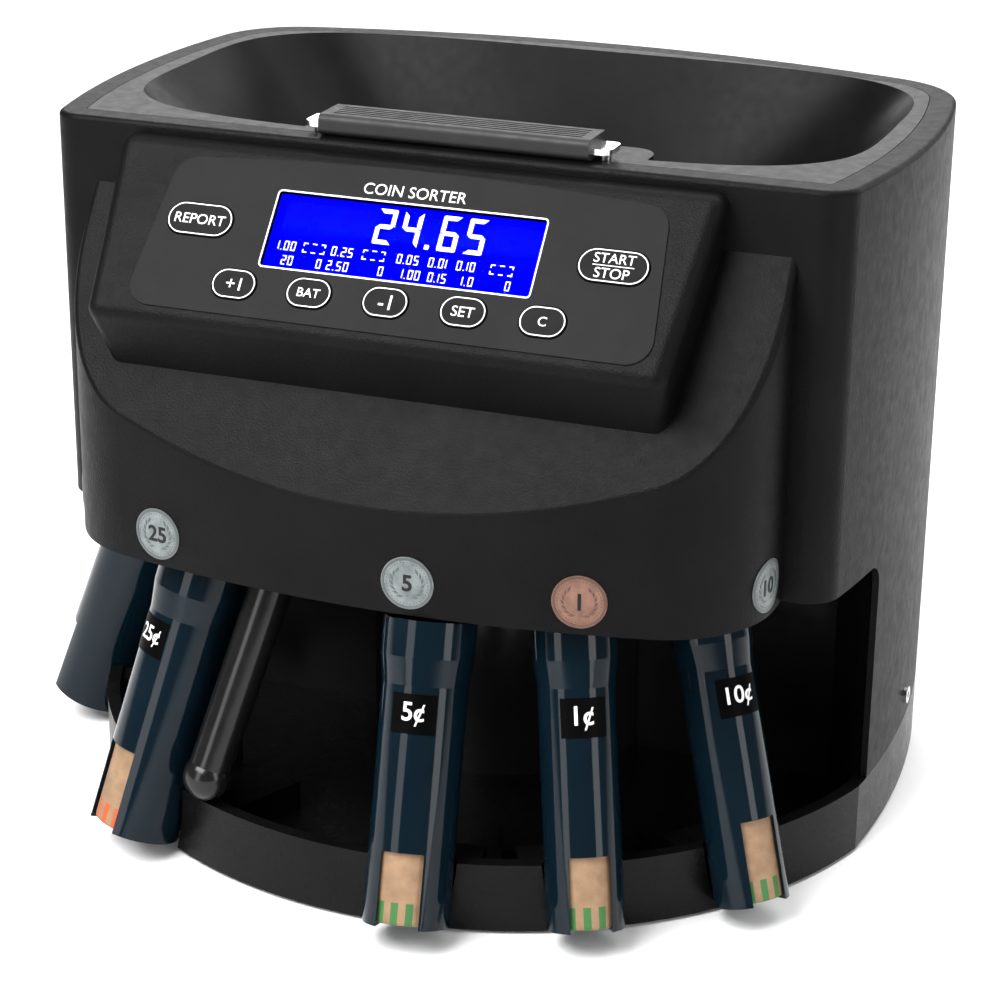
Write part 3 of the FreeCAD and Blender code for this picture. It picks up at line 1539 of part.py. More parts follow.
make_base()
make_feet()
make_base_screws()
make_housing()
make_drum()
make_console()
make_overlay()
make_display()
make_keys()
make_key_board()
make_hopper()
make_handle()
make_deck()
make_rail()
make_sensors()
make_bearing()
make_spindle()
make_disc()
make_disc_cap()
make_motor()
make_belt()
make_motor_bracket()
make_bay_wall()
make_reject_chute()
make_tube_stops()
make_bay_screws()
for coin_name in TUBES:
    make_tube(coin_name)
    make_wrapper(coin_name)
    make_label(coin_name)
make_stickers()
make_power_inlet()
make_switch()
make_data_port()
fused_blocks("main_board", MAIN_BOARD)
fused_blocks("power_supply", POWER_SUPPLY)
document.recompute()

# every object must have been rebuilt, and every sub-part must be a valid solid shape
failed = [item.Label for item in document.Objects
          if "Invalid" in item.State or "Error" in item.State]
if failed:
    raise RuntimeError("not rebuilt: " + ", ".join(failed))
for part in subparts:
    if part.Shape.isNull() or not part.Shape.isValid() or not part.Shape.Solids:
        raise RuntimeError("bad shape: " + part.Label)

os.makedirs("parts", exist_ok=True)
for part in subparts:
    part.Shape.exportStep(os.path.join("parts", part.Label + ".step"))
print(len(subparts), "sub-parts written")
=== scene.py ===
"""Looks of the coin sorting machine: materials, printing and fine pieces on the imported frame.

Lengths are in metres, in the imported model's frame: +Z is up and the console faces -Y.
"""
import json
import math

import bmesh
import bpy
from mathutils import Matrix, Vector
from mathutils.bvhtree import BVHTree


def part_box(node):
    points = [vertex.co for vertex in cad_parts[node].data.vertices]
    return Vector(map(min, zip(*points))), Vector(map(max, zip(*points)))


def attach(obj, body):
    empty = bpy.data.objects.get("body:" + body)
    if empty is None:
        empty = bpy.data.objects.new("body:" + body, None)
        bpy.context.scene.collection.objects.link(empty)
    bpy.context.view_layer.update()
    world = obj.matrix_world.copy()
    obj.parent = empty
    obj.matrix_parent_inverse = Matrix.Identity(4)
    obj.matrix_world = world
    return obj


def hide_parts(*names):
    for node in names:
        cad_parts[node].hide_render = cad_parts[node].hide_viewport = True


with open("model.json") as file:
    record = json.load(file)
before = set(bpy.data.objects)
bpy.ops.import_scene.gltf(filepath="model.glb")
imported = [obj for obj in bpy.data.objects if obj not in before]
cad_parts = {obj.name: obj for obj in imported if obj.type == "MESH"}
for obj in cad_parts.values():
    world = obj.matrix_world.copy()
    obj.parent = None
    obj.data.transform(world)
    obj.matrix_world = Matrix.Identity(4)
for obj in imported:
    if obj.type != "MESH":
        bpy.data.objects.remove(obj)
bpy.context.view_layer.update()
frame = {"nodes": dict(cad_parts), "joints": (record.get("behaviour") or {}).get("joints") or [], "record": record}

MM = 0.001
NODES = frame["nodes"]
JOINTS = {joint["name"]: joint for joint in frame["joints"]}
ROOT = "machine"
COINS = ("100c", "25c", "5c", "1c", "10c")

PRINT_RISE = 0.06 * MM          # how far printing stands proud of what it's printed on

# the tubes, as the CAD has them: the foot is (distance from the disc's axis, height)
TUBE_LEAN = math.radians(20.0)
TUBE_FOOT = (176.0 * MM, 8.5 * MM)
TUBE_WALL = 1.2 * MM
COLLAR_RISE = 1.3 * MM          # out of the tube's side
WRAPPER_HEIGHT = 76.0 * MM
WRAPPER_PAPER = 0.3 * MM


# ---------------------------------------------------------------- shader helpers

NOISE_LOW, NOISE_HIGH = 0.3, 0.7     # nearly all of a noise's values lie between these
BLOTCHES = 35.0                      # colour blotches to a metre, unless a material sets its own
GLOSS_BLOTCHES = 6.0                 # gloss blotches to a colour blotch


def node(tree, kind, settings=None, **sockets):
    """A shader node with its settings, and its sockets linked or set."""
    made = tree.nodes.new(kind)
    for name, value in (settings or {}).items():
        setattr(made, name, value)
    for name, value in sockets.items():
        socket = made.inputs[name.replace("_", " ")]
        if isinstance(value, bpy.types.NodeSocket):
            tree.links.new(value, socket)
        else:
            socket.default_value = value
    return made


def object_coordinates(tree):
    return node(tree, "ShaderNodeTexCoord").outputs["Object"]


def noise(tree, scale, detail=3.0, stretch=(1.0, 1.0, 1.0)):
    """Noise with features 1/scale metres across, drawn out along the axes with a low stretch."""
    where = node(tree, "ShaderNodeMapping", Vector=object_coordinates(tree), Scale=stretch)
    made = node(tree, "ShaderNodeTexNoise", Vector=where.outputs["Vector"],
                Scale=scale, Detail=detail, Roughness=0.55)
    return made.outputs["Fac"]


def cells(tree, scale):
    """Rounded pebbles 1/scale metres across, as in leather grain."""
    made = node(tree, "ShaderNodeTexVoronoi", {"feature": "SMOOTH_F1"},
                Vector=object_coordinates(tree), Scale=scale, Smoothness=0.6)
    return made.outputs["Distance"]


def arithmetic(tree, operation, *values):
    made = tree.nodes.new("ShaderNodeMath")
    made.operation = operation
    for socket, value in zip(made.inputs, values):
        if isinstance(value, bpy.types.NodeSocket):
            tree.links.new(value, socket)
        else:
            socket.default_value = value
    return made.outputs["Value"]


def spread(tree, factor, low, high):
    """The middle of a noise's range, spread from low to high."""
    made = node(tree, "ShaderNodeMapRange", Value=factor, From_Min=NOISE_LOW,
                From_Max=NOISE_HIGH, To_Min=low, To_Max=high)
    return made.outputs["Result"]


def ramp(tree, factor, *stops):
    """Colours at places along a factor from 0 to 1."""
    made = node(tree, "ShaderNodeValToRGB", Fac=factor)
    for number, (place, color) in enumerate(stops):
        elements = made.color_ramp.elements
        stop = elements[number] if number < 2 else elements.new(place)
        stop.position = place
        stop.color = (*color, 1.0)
    return made.outputs["Color"]


def shade(name, dark, light, rough, grain=None, blotch=BLOTCHES, **sockets):
    """A material whose colour and gloss drift.

    dark and light are the colours it drifts between and rough the range of its roughness. The
    grain is (maker of its height, depth), and sockets set inputs of the shader by name.
    """
    made = bpy.data.materials.new(name)
    made.use_nodes = True
    tree = made.node_tree
    shader = tree.nodes["Principled BSDF"]
    drift = noise(tree, blotch, 5.0)
    color = ramp(tree, drift, (NOISE_LOW, dark), (NOISE_HIGH, light))
    tree.links.new(color, shader.inputs["Base Color"])
    fine = noise(tree, blotch * GLOSS_BLOTCHES, 4.0)
    tree.links.new(spread(tree, fine, *rough), shader.inputs["Roughness"])
    for socket, value in sockets.items():
        shader.inputs[socket.replace("_", " ")].default_value = value
    if grain:
        maker, depth = grain
        bump = node(tree, "ShaderNodeBump", Height=maker(tree), Distance=depth, Strength=1.0)
        tree.links.new(bump.outputs["Normal"], shader.inputs["Normal"])
    return made


def grey(value, blue=0.0):
    return (value, value, value + blue)


# ---------------------------------------------------------------- materials

# features to a metre in each kind of grain
PEBBLES = 1500.0
PEBBLE_DUST = 3200.0
FINE_GRAIN = 3800.0
WAVES = 55.0
TOOL_LINES = 900.0
FIBRES = 1500.0

PEBBLE_DUST_SHARE = 0.6              # the finer noise's height, as a share of the pebbles'


def leather_grain(tree):
    """Fine moulded leather grain: pebbles with a finer noise over them."""
    dust = arithmetic(tree, "MULTIPLY", noise(tree, PEBBLE_DUST, 2.0), PEBBLE_DUST_SHARE)
    return arithmetic(tree, "ADD", cells(tree, PEBBLES), dust)


def fine_grain(tree):
    return noise(tree, FINE_GRAIN, 2.0)


def polish_waves(tree):
    """The slow waviness of a glossy moulding."""
    return noise(tree, WAVES, 2.0)


def turned_lines(tree):
    """Lines round an upright axis."""
    return noise(tree, TOOL_LINES, 3.0, (0.05, 0.05, 4.0))


def brushed_lines(tree):
    """Lines along X."""
    return noise(tree, TOOL_LINES, 3.0, (0.04, 3.0, 3.0))


def paper_fibres(tree):
    return noise(tree, FIBRES, 6.0)


SMOKE = {"Transmission_Weight": 0.5, "IOR": 1.27}
STICKER_LOOK = {"blotch": 260.0, "Metallic": 0.2}

MATERIALS = {
    "grained_black": shade("grained_black", grey(0.0022), grey(0.0036), (0.38, 0.48),
                           (leather_grain, 0.12 * MM), Specular_IOR_Level=0.065),
    "gloss_black": shade("gloss_black", grey(0.004), grey(0.006), (0.16, 0.24),
                         (polish_waves, 0.2 * MM), Specular_IOR_Level=0.3),
    "satin_black": shade("satin_black", grey(0.002), grey(0.0035), (0.24, 0.34),
                         (fine_grain, 0.02 * MM), Specular_IOR_Level=0.10),
    "smooth_black": shade("smooth_black", grey(0.003), grey(0.005), (0.30, 0.40),
                          (fine_grain, 0.03 * MM), Specular_IOR_Level=0.06),
    "black_rubber": shade("black_rubber", grey(0.006), grey(0.010), (0.42, 0.56),
                          (fine_grain, 0.05 * MM), Specular_IOR_Level=0.3),
    "bright_steel": shade("bright_steel", grey(0.66), grey(0.80), (0.14, 0.26),
                          (brushed_lines, 0.02 * MM), Metallic=1.0),
    "plain_steel": shade("plain_steel", grey(0.42), grey(0.55, 0.01), (0.28, 0.42),
                         (turned_lines, 0.03 * MM), Metallic=1.0),
    "overlay_grey": shade("overlay_grey", grey(0.009), grey(0.011), (0.46, 0.52),
                          (fine_grain, 0.010 * MM), Specular_IOR_Level=0.05),
    "clear_window": shade("clear_window", grey(0.97), grey(1.0), (0.02, 0.05),
                          Transmission_Weight=1.0, IOR=1.02),
    "display_blue": shade("display_blue", (0.0, 0.0, 0.55), (0.0, 0.0, 0.6), (0.5, 0.6),
                          Specular_IOR_Level=0.0, Emission_Color=(0.0, 0.0, 1.0, 1.0),
                          Emission_Strength=0.85),
    "key_black": shade("key_black", grey(0.002), grey(0.003), (0.40, 0.48),
                       (fine_grain, 0.02 * MM), Specular_IOR_Level=0.06),
    "board_green": shade("board_green", (0.01, 0.09, 0.035), (0.02, 0.14, 0.05), (0.25, 0.4),
                         (fine_grain, 0.05 * MM), Coat_Weight=0.4, Coat_Roughness=0.1),
    "moulded_black": shade("moulded_black", grey(0.008), grey(0.013), (0.36, 0.5),
                           (fine_grain, 0.04 * MM), Specular_IOR_Level=0.35),
    "switch_black": shade("switch_black", grey(0.006), grey(0.009), (0.16, 0.24),
                          (polish_waves, 0.1 * MM)),
    "disc_grey": shade("disc_grey", grey(0.13), grey(0.19), (0.34, 0.48),
                       (fine_grain, 0.05 * MM)),
    "bronze_bush": shade("bronze_bush", (0.36, 0.22, 0.10), (0.52, 0.33, 0.16), (0.35, 0.5),
                         (fine_grain, 0.05 * MM), Metallic=1.0),
    "pulley_white": shade("pulley_white", grey(0.62), grey(0.74), (0.35, 0.5),
                          (fine_grain, 0.04 * MM), Subsurface_Weight=0.1),
    "motor_can": shade("motor_can", grey(0.38), grey(0.5), (0.24, 0.38),
                       (turned_lines, 0.03 * MM), Metallic=1.0),
    "supply_metal": shade("supply_metal", grey(0.16), grey(0.24), (0.35, 0.5),
                          (turned_lines, 0.04 * MM), Metallic=0.6),
    "smoke_tube": shade("smoke_tube", (0.0025, 0.010, 0.017), (0.004, 0.014, 0.023),
                        (0.05, 0.09), (polish_waves, 0.03 * MM), **SMOKE),
    "label_black": shade("label_black", grey(0.0008), grey(0.0016), (0.40, 0.50),
                         (fine_grain, 0.01 * MM), Specular_IOR_Level=0.02),
    "sticker_print": shade("sticker_print", (0.085, 0.10, 0.10), (0.17, 0.19, 0.19),
                           (0.30, 0.5), (fine_grain, 0.08 * MM), **STICKER_LOOK),
    "sticker_copper": shade("sticker_copper", (0.10, 0.047, 0.030), (0.19, 0.090, 0.060),
                            (0.30, 0.5), (fine_grain, 0.08 * MM), **STICKER_LOOK),
    "silver_ink": shade("silver_ink", (0.035, 0.042, 0.042), (0.07, 0.08, 0.08), (0.35, 0.5)),
    "copper_ink": shade("copper_ink", (0.045, 0.018, 0.010), (0.085, 0.034, 0.02),
                        (0.35, 0.5)),
    "print_white": shade("print_white", grey(0.70), grey(0.76), (0.4, 0.5)),
    "print_dark": shade("print_dark", grey(0.003), grey(0.006), (0.4, 0.5),
                        Specular_IOR_Level=0.2),
    "display_white": shade("display_white", grey(0.6), grey(0.65), (0.4, 0.5),
                           Emission_Color=(1.0, 1.0, 1.0, 1.0), Emission_Strength=0.9),
}
OTHER_FINISH = {"base_tray": "satin_black"}     # nodes with a finish other than their slot's

WRAPPER_BAR_HEIGHT = 8.0 * MM
WRAPPER_BAR_PITCH = 5.6 * MM
WRAPPER_BAR_SHARE = 0.5              # of the pitch
WRAPPER_INK_COVER = 0.93
WRAPPER_BLOTCHES = 180.0


def kraft_paper(name, bar_color, radius):
    """Kraft paper with a row of printed bars round each end, in the wrapper's own frame."""
    made = shade(name, (0.18, 0.105, 0.054), (0.26, 0.158, 0.086), (0.62, 0.78),
                 (paper_fibres, 0.06 * MM), blotch=WRAPPER_BLOTCHES)
    tree = made.node_tree
    shader = tree.nodes["Principled BSDF"]
    paper = shader.inputs["Base Color"].links[0].from_socket
    where = node(tree, "ShaderNodeSeparateXYZ", Vector=object_coordinates(tree))
    turn = arithmetic(tree, "ARCTAN2", where.outputs["X"], where.outputs["Y"])
    count = round(2 * math.pi * radius / WRAPPER_BAR_PITCH)
    step = arithmetic(tree, "FRACT", arithmetic(tree, "MULTIPLY", turn, count / (2 * math.pi)))
    bar = arithmetic(tree, "LESS_THAN", step, WRAPPER_BAR_SHARE)
    middle = TUBE_WALL + WRAPPER_HEIGHT / 2
    from_middle = arithmetic(tree, "ABSOLUTE", arithmetic(tree, "SUBTRACT",
                                                          where.outputs["Z"], middle))
    at_end = arithmetic(tree, "GREATER_THAN", from_middle,
                        WRAPPER_HEIGHT / 2 - WRAPPER_BAR_HEIGHT)
    ink = arithmetic(tree, "MULTIPLY", arithmetic(tree, "MULTIPLY", bar, at_end),
                     WRAPPER_INK_COVER)
    printed = node(tree, "ShaderNodeMixRGB", Fac=ink, Color1=paper, Color2=(*bar_color, 1.0))
    tree.links.new(printed.outputs["Color"], shader.inputs["Base Color"])
    return made


def paint_cad_nodes():
    """Each CAD node gets its record slot's material; the wrappers are made anew further down."""
    for part in frame["record"]["subparts"]:
        target = NODES[part["node"]]
        word = OTHER_FINISH.get(part["node"], part["material_slot"])
        if word not in MATERIALS:
            continue
        finish = MATERIALS[word]
        if not target.material_slots:
            target.data.materials.append(finish)
        for slot in target.material_slots:
            slot.material = finish


# ---------------------------------------------------------------- mesh helpers

def piece(name, mesh, finish, body, place=None):
    """An object from a mesh in its own frame, riding on a body."""
    made = bpy.data.objects.new(name, mesh)
    bpy.context.scene.collection.objects.link(made)
    mesh.name = name
    mesh.materials.clear()
    mesh.materials.append(finish)
    made.matrix_world = place or Matrix.Identity(4)
    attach(made, body)
    return made


def mesh_of(builder):
    mesh = bpy.data.meshes.new("mesh")
    bmesh.ops.recalc_face_normals(builder, faces=builder.faces)
    builder.to_mesh(mesh)
    builder.free()
    return mesh


def slab(builder, outline, low, high):
    """A flat plate with this outline, between two heights."""
    bottom = [builder.verts.new((x, y, low)) for x, y in outline]
    top = [builder.verts.new((x, y, high)) for x, y in outline]
    builder.faces.new(list(reversed(bottom)))
    builder.faces.new(top)
    count = len(outline)
    for i in range(count):
        j = (i + 1) % count
        builder.faces.new((bottom[i], bottom[j], top[j], top[i]))


def band(builder, inside, outside, low, high):
    """A flat loop between two outlines with the same number of points."""
    count = len(inside)
    rings = [[builder.verts.new((x, y, z)) for x, y in outline]
             for outline, z in ((inside, low), (outside, low), (outside, high), (inside, high))]
    for first, second in zip(rings, rings[1:] + rings[:1]):
        for i in range(count):
            j = (i + 1) % count
            builder.faces.new((first[i], first[j], second[j], second[i]))


def rounded_outline(width, height, radius, middle=(0.0, 0.0), steps=10):
    """Points round a rectangle with round corners."""
    points = []
    for quarter, (sx, sy) in enumerate(((1, 1), (-1, 1), (-1, -1), (1, -1))):
        cx = middle[0] + sx * (width / 2 - radius)
        cy = middle[1] + sy * (height / 2 - radius)
        for step in range(steps + 1):
            turn = math.radians(90.0 * (quarter + step / steps))
            points.append((cx + radius * math.cos(turn), cy + radius * math.sin(turn)))
    return points


def circle_outline(radius, count=72):
    turns = (2 * math.pi * i / count for i in range(count))
    return [(radius * math.cos(turn), radius * math.sin(turn)) for turn in turns]


FONT_DEPTH = 0.05                    # of a letter's size; the rise replaces it
FONT_STEPS = 5                       # to a curved piece of a letter's edge
WELD = 0.002 * MM                    # a letter's points closer than this are one


def lettering(words, rise, width=None, height=None, bold=0.0):
    """Raised lettering of a given width or height, centred on the origin, its foot at Z = 0.

    bold thickens the strokes, as a share of a letter's size.
    """
    curve = bpy.data.curves.new("lettering", "FONT")
    curve.body = words
    curve.extrude = FONT_DEPTH
    curve.offset = bold
    curve.resolution_u = FONT_STEPS
    curve.align_x = "CENTER"
    holder = bpy.data.objects.new("lettering", curve)
    bpy.context.scene.collection.objects.link(holder)
    bpy.context.view_layer.update()
    seen = holder.evaluated_get(bpy.context.evaluated_depsgraph_get())
    mesh = bpy.data.meshes.new_from_object(seen)
    bpy.data.objects.remove(holder)
    bpy.data.curves.remove(curve)
    low = Vector(map(min, zip(*(vertex.co for vertex in mesh.vertices))))
    high = Vector(map(max, zip(*(vertex.co for vertex in mesh.vertices))))
    scale = width / (high.x - low.x) if width else height / (high.y - low.y)
    lift = rise / (high.z - low.z)
    mesh.transform(Matrix.Diagonal((scale, scale, lift, 1.0))
                   @ Matrix.Translation((-(low.x + high.x) / 2, -(low.y + high.y) / 2, -low.z)))
    welder = bmesh.new()
    welder.from_mesh(mesh)
    bmesh.ops.remove_doubles(welder, verts=welder.verts, dist=WELD)
    bmesh.ops.recalc_face_normals(welder, faces=welder.faces)
    welder.to_mesh(mesh)
    welder.free()
    return mesh


def drape(mesh, place, surface, reach=20.0 * MM):
    """Drop a mesh along its frame's -Z onto a surface; its own heights stay above it."""
    outward = place.to_3x3().col[2].normalized()
    for vertex in mesh.vertices:
        flat = Vector((vertex.co.x, vertex.co.y, 0.0))
        start = place @ flat + outward * reach
        hit = surface.ray_cast(start, -outward)[0]
        if hit is None:
            raise ValueError(f"{mesh.name} reaches past the surface it lies on")
        vertex.co = place.inverted() @ (hit + outward * vertex.co.z)


def surface_of(name):
    """A search tree of a CAD node's faces."""
    mesh = NODES[name].data
    return BVHTree.FromPolygons([v.co.copy() for v in mesh.vertices],
                                [tuple(p.vertices) for p in mesh.polygons])


def upright_frame(point, facing):
    """A frame at a point with +Z along a level direction and +Y up."""
    outward = Vector(facing).normalized()
    across = Vector((0.0, 0.0, 1.0)).cross(outward)
    rows = Matrix((across, Vector((0.0, 0.0, 1.0)), outward)).transposed()
    return Matrix.Translation(point) @ rows.to_4x4()


# ---------------------------------------------------------------- console panel

def panel_place():
    """The panel's frame: +X across, +Y up the slope, +Z out, with the display's middle at 0."""
    low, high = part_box("display_window")
    inward = Vector(JOINTS["key_set_press"]["axis"]).normalized()
    outward = -inward
    across = Vector((1.0, 0.0, 0.0))
    rows = Matrix((across, outward.cross(across), outward)).transposed()
    return Matrix.Translation((low + high) / 2) @ rows.to_4x4()


PANEL = panel_place()
TOP_DEPTH = 0.1 * MM                 # points this close to the top belong to the outermost face


def in_panel(name):
    """The corners of a node's outermost face in the panel's frame."""
    inverse = PANEL.inverted()
    points = [inverse @ vertex.co for vertex in NODES[name].data.vertices]
    top = max(point.z for point in points)
    face = [point for point in points if point.z > top - TOP_DEPTH]
    low = Vector((min(p.x for p in face), min(p.y for p in face), top))
    high = Vector((max(p.x for p in face), max(p.y for p in face), top))
    return low, high


# a seven-segment figure's bars: a on top, b and c at the right, d below, e and f at the left,
# g across the middle
SEGMENTS = {"0": "abcdef", "1": "bc", "2": "abged", "4": "bcfg", "5": "acdfg", "6": "acdefg"}
SEGMENT_GAP = 0.12                   # between bars, as a share of the stroke
SEGMENT_NIB_GAP = 0.4                # at the middle bar's tips, as a share of half the stroke


def segment_outline(letter, width, height, stroke):
    """One bar of a seven-segment figure, with mitred ends and a hair of gap."""
    gap = stroke * SEGMENT_GAP
    half = height / 2
    flat = [(gap, 0.0), (width - gap, 0.0), (width - gap - stroke, stroke),
            (gap + stroke, stroke)]
    if letter == "d":
        return flat
    if letter == "a":
        return [(x, height - y) for x, y in flat]
    if letter == "g":
        nib = stroke / 2
        tip = gap + nib * SEGMENT_NIB_GAP
        return [(tip, half), (stroke, half - nib), (width - stroke, half - nib),
                (width - tip, half), (width - stroke, half + nib), (stroke, half + nib)]
    upright = [(0.0, gap), (stroke, stroke + gap), (stroke, half - stroke / 2 - gap),
               (0.0, half - gap)]
    if letter in "bf":
        upright = [(x, height - y) for x, y in upright]
    if letter in "bc":
        upright = [(width - x, y) for x, y in upright]
    return upright


def figures(builder, words, middle, height, width, pitch, stroke, low, high):
    """Seven-segment figures centred on a point; a full stop takes a narrow place."""
    space = pitch - width
    widths = {".": stroke, "1": stroke}
    total = sum(widths.get(mark, width) + space for mark in words) - space
    x = middle[0] - total / 2
    foot = middle[1] - height / 2
    for mark in words:
        wide = widths.get(mark, width)
        if mark == ".":
            slab(builder, [(x, foot), (x + stroke, foot), (x + stroke, foot + stroke),
                           (x, foot + stroke)], low, high)
        for letter in SEGMENTS.get(mark, ""):
            outline = [(x + wide - width + px, foot + py)
                       for px, py in segment_outline(letter, width, height, stroke)]
            slab(builder, outline, low, high)
        x += wide + space


BOX_ARM = 0.2                        # a corner's level arm, as a share of the box's width
BOX_UPRIGHT = 0.32                   # and its upright one, of the height


def dashed_box(builder, middle, width, height, stroke, low, high):
    """An empty value's box: four corners and a dash between them above and below."""
    cx, cy = middle
    arm = width * BOX_ARM
    for sx in (-1, 1):
        for sy in (-1, 1):
            x, y = cx + sx * width / 2, cy + sy * height / 2
            for dx, dy in ((arm, stroke), (stroke, height * BOX_UPRIGHT)):
                corners = sorted((x, x - sx * dx)), sorted((y, y - sy * dy))
                (x0, x1), (y0, y1) = corners
                slab(builder, [(x0, y0), (x1, y0), (x1, y1), (x0, y1)], low, high)
    for sy in (-1, 1):
        y0, y1 = sorted((cy + sy * height / 2, cy + sy * (height / 2 - stroke)))
        slab(builder, [(cx - arm / 2, y0), (cx + arm / 2, y0), (cx + arm / 2, y1),
                       (cx - arm / 2, y1)], low, high)


# the display's figures, in millimetres from its middle
DISPLAY_BACK = -0.9 * MM             # the module's face, below the window's middle
DISPLAY_CLEARANCE = 0.02 * MM
DISPLAY_TOP = 0.10 * MM
TOTAL = ("24.65", 8.6, 6.0)          # words, x, y
TOTAL_SIZES = (13.4, 6.9, 9.8, 1.6)  # height, width, pitch, stroke
SMALL_SIZES = (3.5, 1.75, 2.55, 0.36)
VALUE_ROW, COUNT_ROW = -5.3, -10.8
VALUES = (("1.00", -42.7), ("0.25", -21.6), ("0.05", 3.1), ("0.01", 14.2), ("0.10", 24.6))
COUNTS = (("20", -41.2), ("0", -29.1), ("2.50", -22.0), ("0", -5.7), ("1.00", 5.6),
          ("0.15", 15.3), ("1.0", 26.5), ("0", 41.2))
EMPTY_VALUES = (-32.3, -9.7, 37.7)
EMPTY_SIZE = (8.4, 3.7, 0.36)        # width, height, stroke

BORDER_LINE = 0.55 * MM
BORDER_ROUND = 1.2 * MM

TITLE = "COIN SORTER"
TITLE_WIDTH = 38.5 * MM
TITLE_RISE = 4.3 * MM                # its middle above the window


def make_display_print():
    """The lit figures: a total over two rows of values and counts."""
    low, high = DISPLAY_BACK + DISPLAY_CLEARANCE, DISPLAY_BACK + DISPLAY_TOP
    builder = bmesh.new()
    words, x, y = TOTAL
    figures(builder, words, (x * MM, y * MM), *(size * MM for size in TOTAL_SIZES), low, high)
    for row, entries in ((VALUE_ROW, VALUES), (COUNT_ROW, COUNTS)):
        for words, x in entries:
            figures(builder, words, (x * MM, row * MM), *(size * MM for size in SMALL_SIZES),
                    low, high)
    for x in EMPTY_VALUES:
        dashed_box(builder, (x * MM, VALUE_ROW * MM), *(size * MM for size in EMPTY_SIZE),
                   low, high)
    piece("display_figures", mesh_of(builder), MATERIALS["display_white"], ROOT, PANEL)


def make_display_border():
    """The thin light line printed round the display window."""
    low, high = in_panel("display_window")
    width, height = high.x - low.x, high.y - low.y
    builder = bmesh.new()
    band(builder,
         rounded_outline(width - BORDER_LINE, height - BORDER_LINE, BORDER_ROUND),
         rounded_outline(width + BORDER_LINE, height + BORDER_LINE, BORDER_ROUND + BORDER_LINE),
         low.z, low.z + PRINT_RISE)
    piece("display_border", mesh_of(builder), MATERIALS["print_white"], ROOT, PANEL)


def make_title():
    """The words printed above the display."""
    top = in_panel("panel_overlay")[0].z
    window_top = in_panel("display_window")[1].y
    mesh = lettering(TITLE, PRINT_RISE, width=TITLE_WIDTH)
    place = PANEL @ Matrix.Translation((0.0, window_top + TITLE_RISE, top))
    piece("title_print", mesh, MATERIALS["print_white"], ROOT, place)


# each key's lines of words: the words, their width and their height over the key's middle in mm
LEGENDS = {
    "key_report": (("REPORT", 19.5, 0.0),),
    "key_start_stop": (("START", 14.8, 2.75), ("STOP", 12.4, -2.75)),
    "key_plus_one": (("+1", 5.6, 0.0),),
    "key_batch": (("BAT", 8.4, 0.0),),
    "key_minus_one": (("-1", 4.6, 0.0),),
    "key_set": (("SET", 8.2, 0.0),),
    "key_clear": (("C", 3.0, 0.0),),
}

KEY_LINE = 0.4 * MM
KEY_MARGIN = 0.2 * MM                # outside the edge line
RULE = (14.8 * MM, 0.3 * MM)         # length and width of the rule between two lines of words


def make_key_prints():
    """Each key's printed edge line and legend, riding on the key."""
    for name, words in LEGENDS.items():
        low, high = in_panel(name)
        middle = (low + high) / 2
        width, height = high.x - low.x, high.y - low.y
        outer = (width - 2 * KEY_MARGIN, height - 2 * KEY_MARGIN)
        inner = (outer[0] - 2 * KEY_LINE, outer[1] - 2 * KEY_LINE)
        builder = bmesh.new()
        band(builder, rounded_outline(*inner, inner[1] / 2, middle[:2]),
             rounded_outline(*outer, outer[1] / 2, middle[:2]), low.z, low.z + PRINT_RISE)
        if len(words) > 1:
            half_length, half_width = RULE[0] / 2, RULE[1] / 2
            corners = [(middle.x + sx * half_length, middle.y + sy * half_width)
                       for sx, sy in ((-1, -1), (1, -1), (1, 1), (-1, 1))]
            slab(builder, corners, low.z, low.z + PRINT_RISE)
        piece(f"{name}_line", mesh_of(builder), MATERIALS["print_white"], name, PANEL)
        for number, (text, text_width, rise) in enumerate(words):
            mesh = lettering(text, PRINT_RISE, width=text_width * MM)
            place = PANEL @ Matrix.Translation((middle.x, middle.y + rise * MM, low.z))
            piece(f"{name}_legend_{number}", mesh, MATERIALS["print_white"], name, place)


# ---------------------------------------------------------------- coin tubes

def tube_place(coin):
    """A tube's frame: its foot at 0, +Z up its axis and -Y outwards."""
    outward = Vector(JOINTS[f"tube_{coin}_pull"]["axis"])
    turn = math.atan2(outward.x, -outward.y)
    radius, height = TUBE_FOOT
    foot = outward * radius + Vector((0.0, 0.0, height))
    return (Matrix.Translation(foot) @ Matrix.Rotation(turn, 4, "Z")
            @ Matrix.Rotation(-TUBE_LEAN, 4, "X"))


def tube_radius(coin):
    """The tube's outside radius below its collar."""
    inverse = tube_place(coin).inverted()
    points = [inverse @ vertex.co for vertex in NODES[f"tube_{coin}"].data.vertices]
    return max(math.hypot(p.x, p.y) for p in points) - COLLAR_RISE


BAR_GREEN = (0.01, 0.11, 0.02)
BAR_ORANGE = (0.42, 0.06, 0.006)
WRAPPER_BARS = {"100c": BAR_ORANGE, "25c": BAR_ORANGE, "5c": BAR_GREEN, "1c": BAR_GREEN,
                "10c": BAR_GREEN}

WRAPPER_GAP = 0.22 * MM              # to the tube's wall
WRAPPER_LIFT = 0.05 * MM             # over the tube's floor
ROLL_START = math.radians(60.0)
ROLL_OVERLAP = math.radians(35.0)
ROLL_STEPS = 96
ROLL_TUCK = 0.35 * MM                # the inner end lies this much further in
# the wrapper's profile in millimetres: (how far out of the roll's face, height), foot first
CRIMP = ((-3.2, 0.5), (-1.6, 0.25), (-0.6, 0.02), (-0.12, 0.3), (0.0, 1.2))
ROLL_HEIGHTS = (5.0, 9.0, 20.0, 38.0, 56.0, 70.0, 75.2)
PLEATS = 18                          # round the crimped foot
PLEAT_DEPTH = 0.15                   # as a share of the crimp
EDGE_WAVES = 3                       # round the top edge
EDGE_WAVE_HEIGHT = 0.12 * MM
EDGE_WAVE_PHASE = 0.8


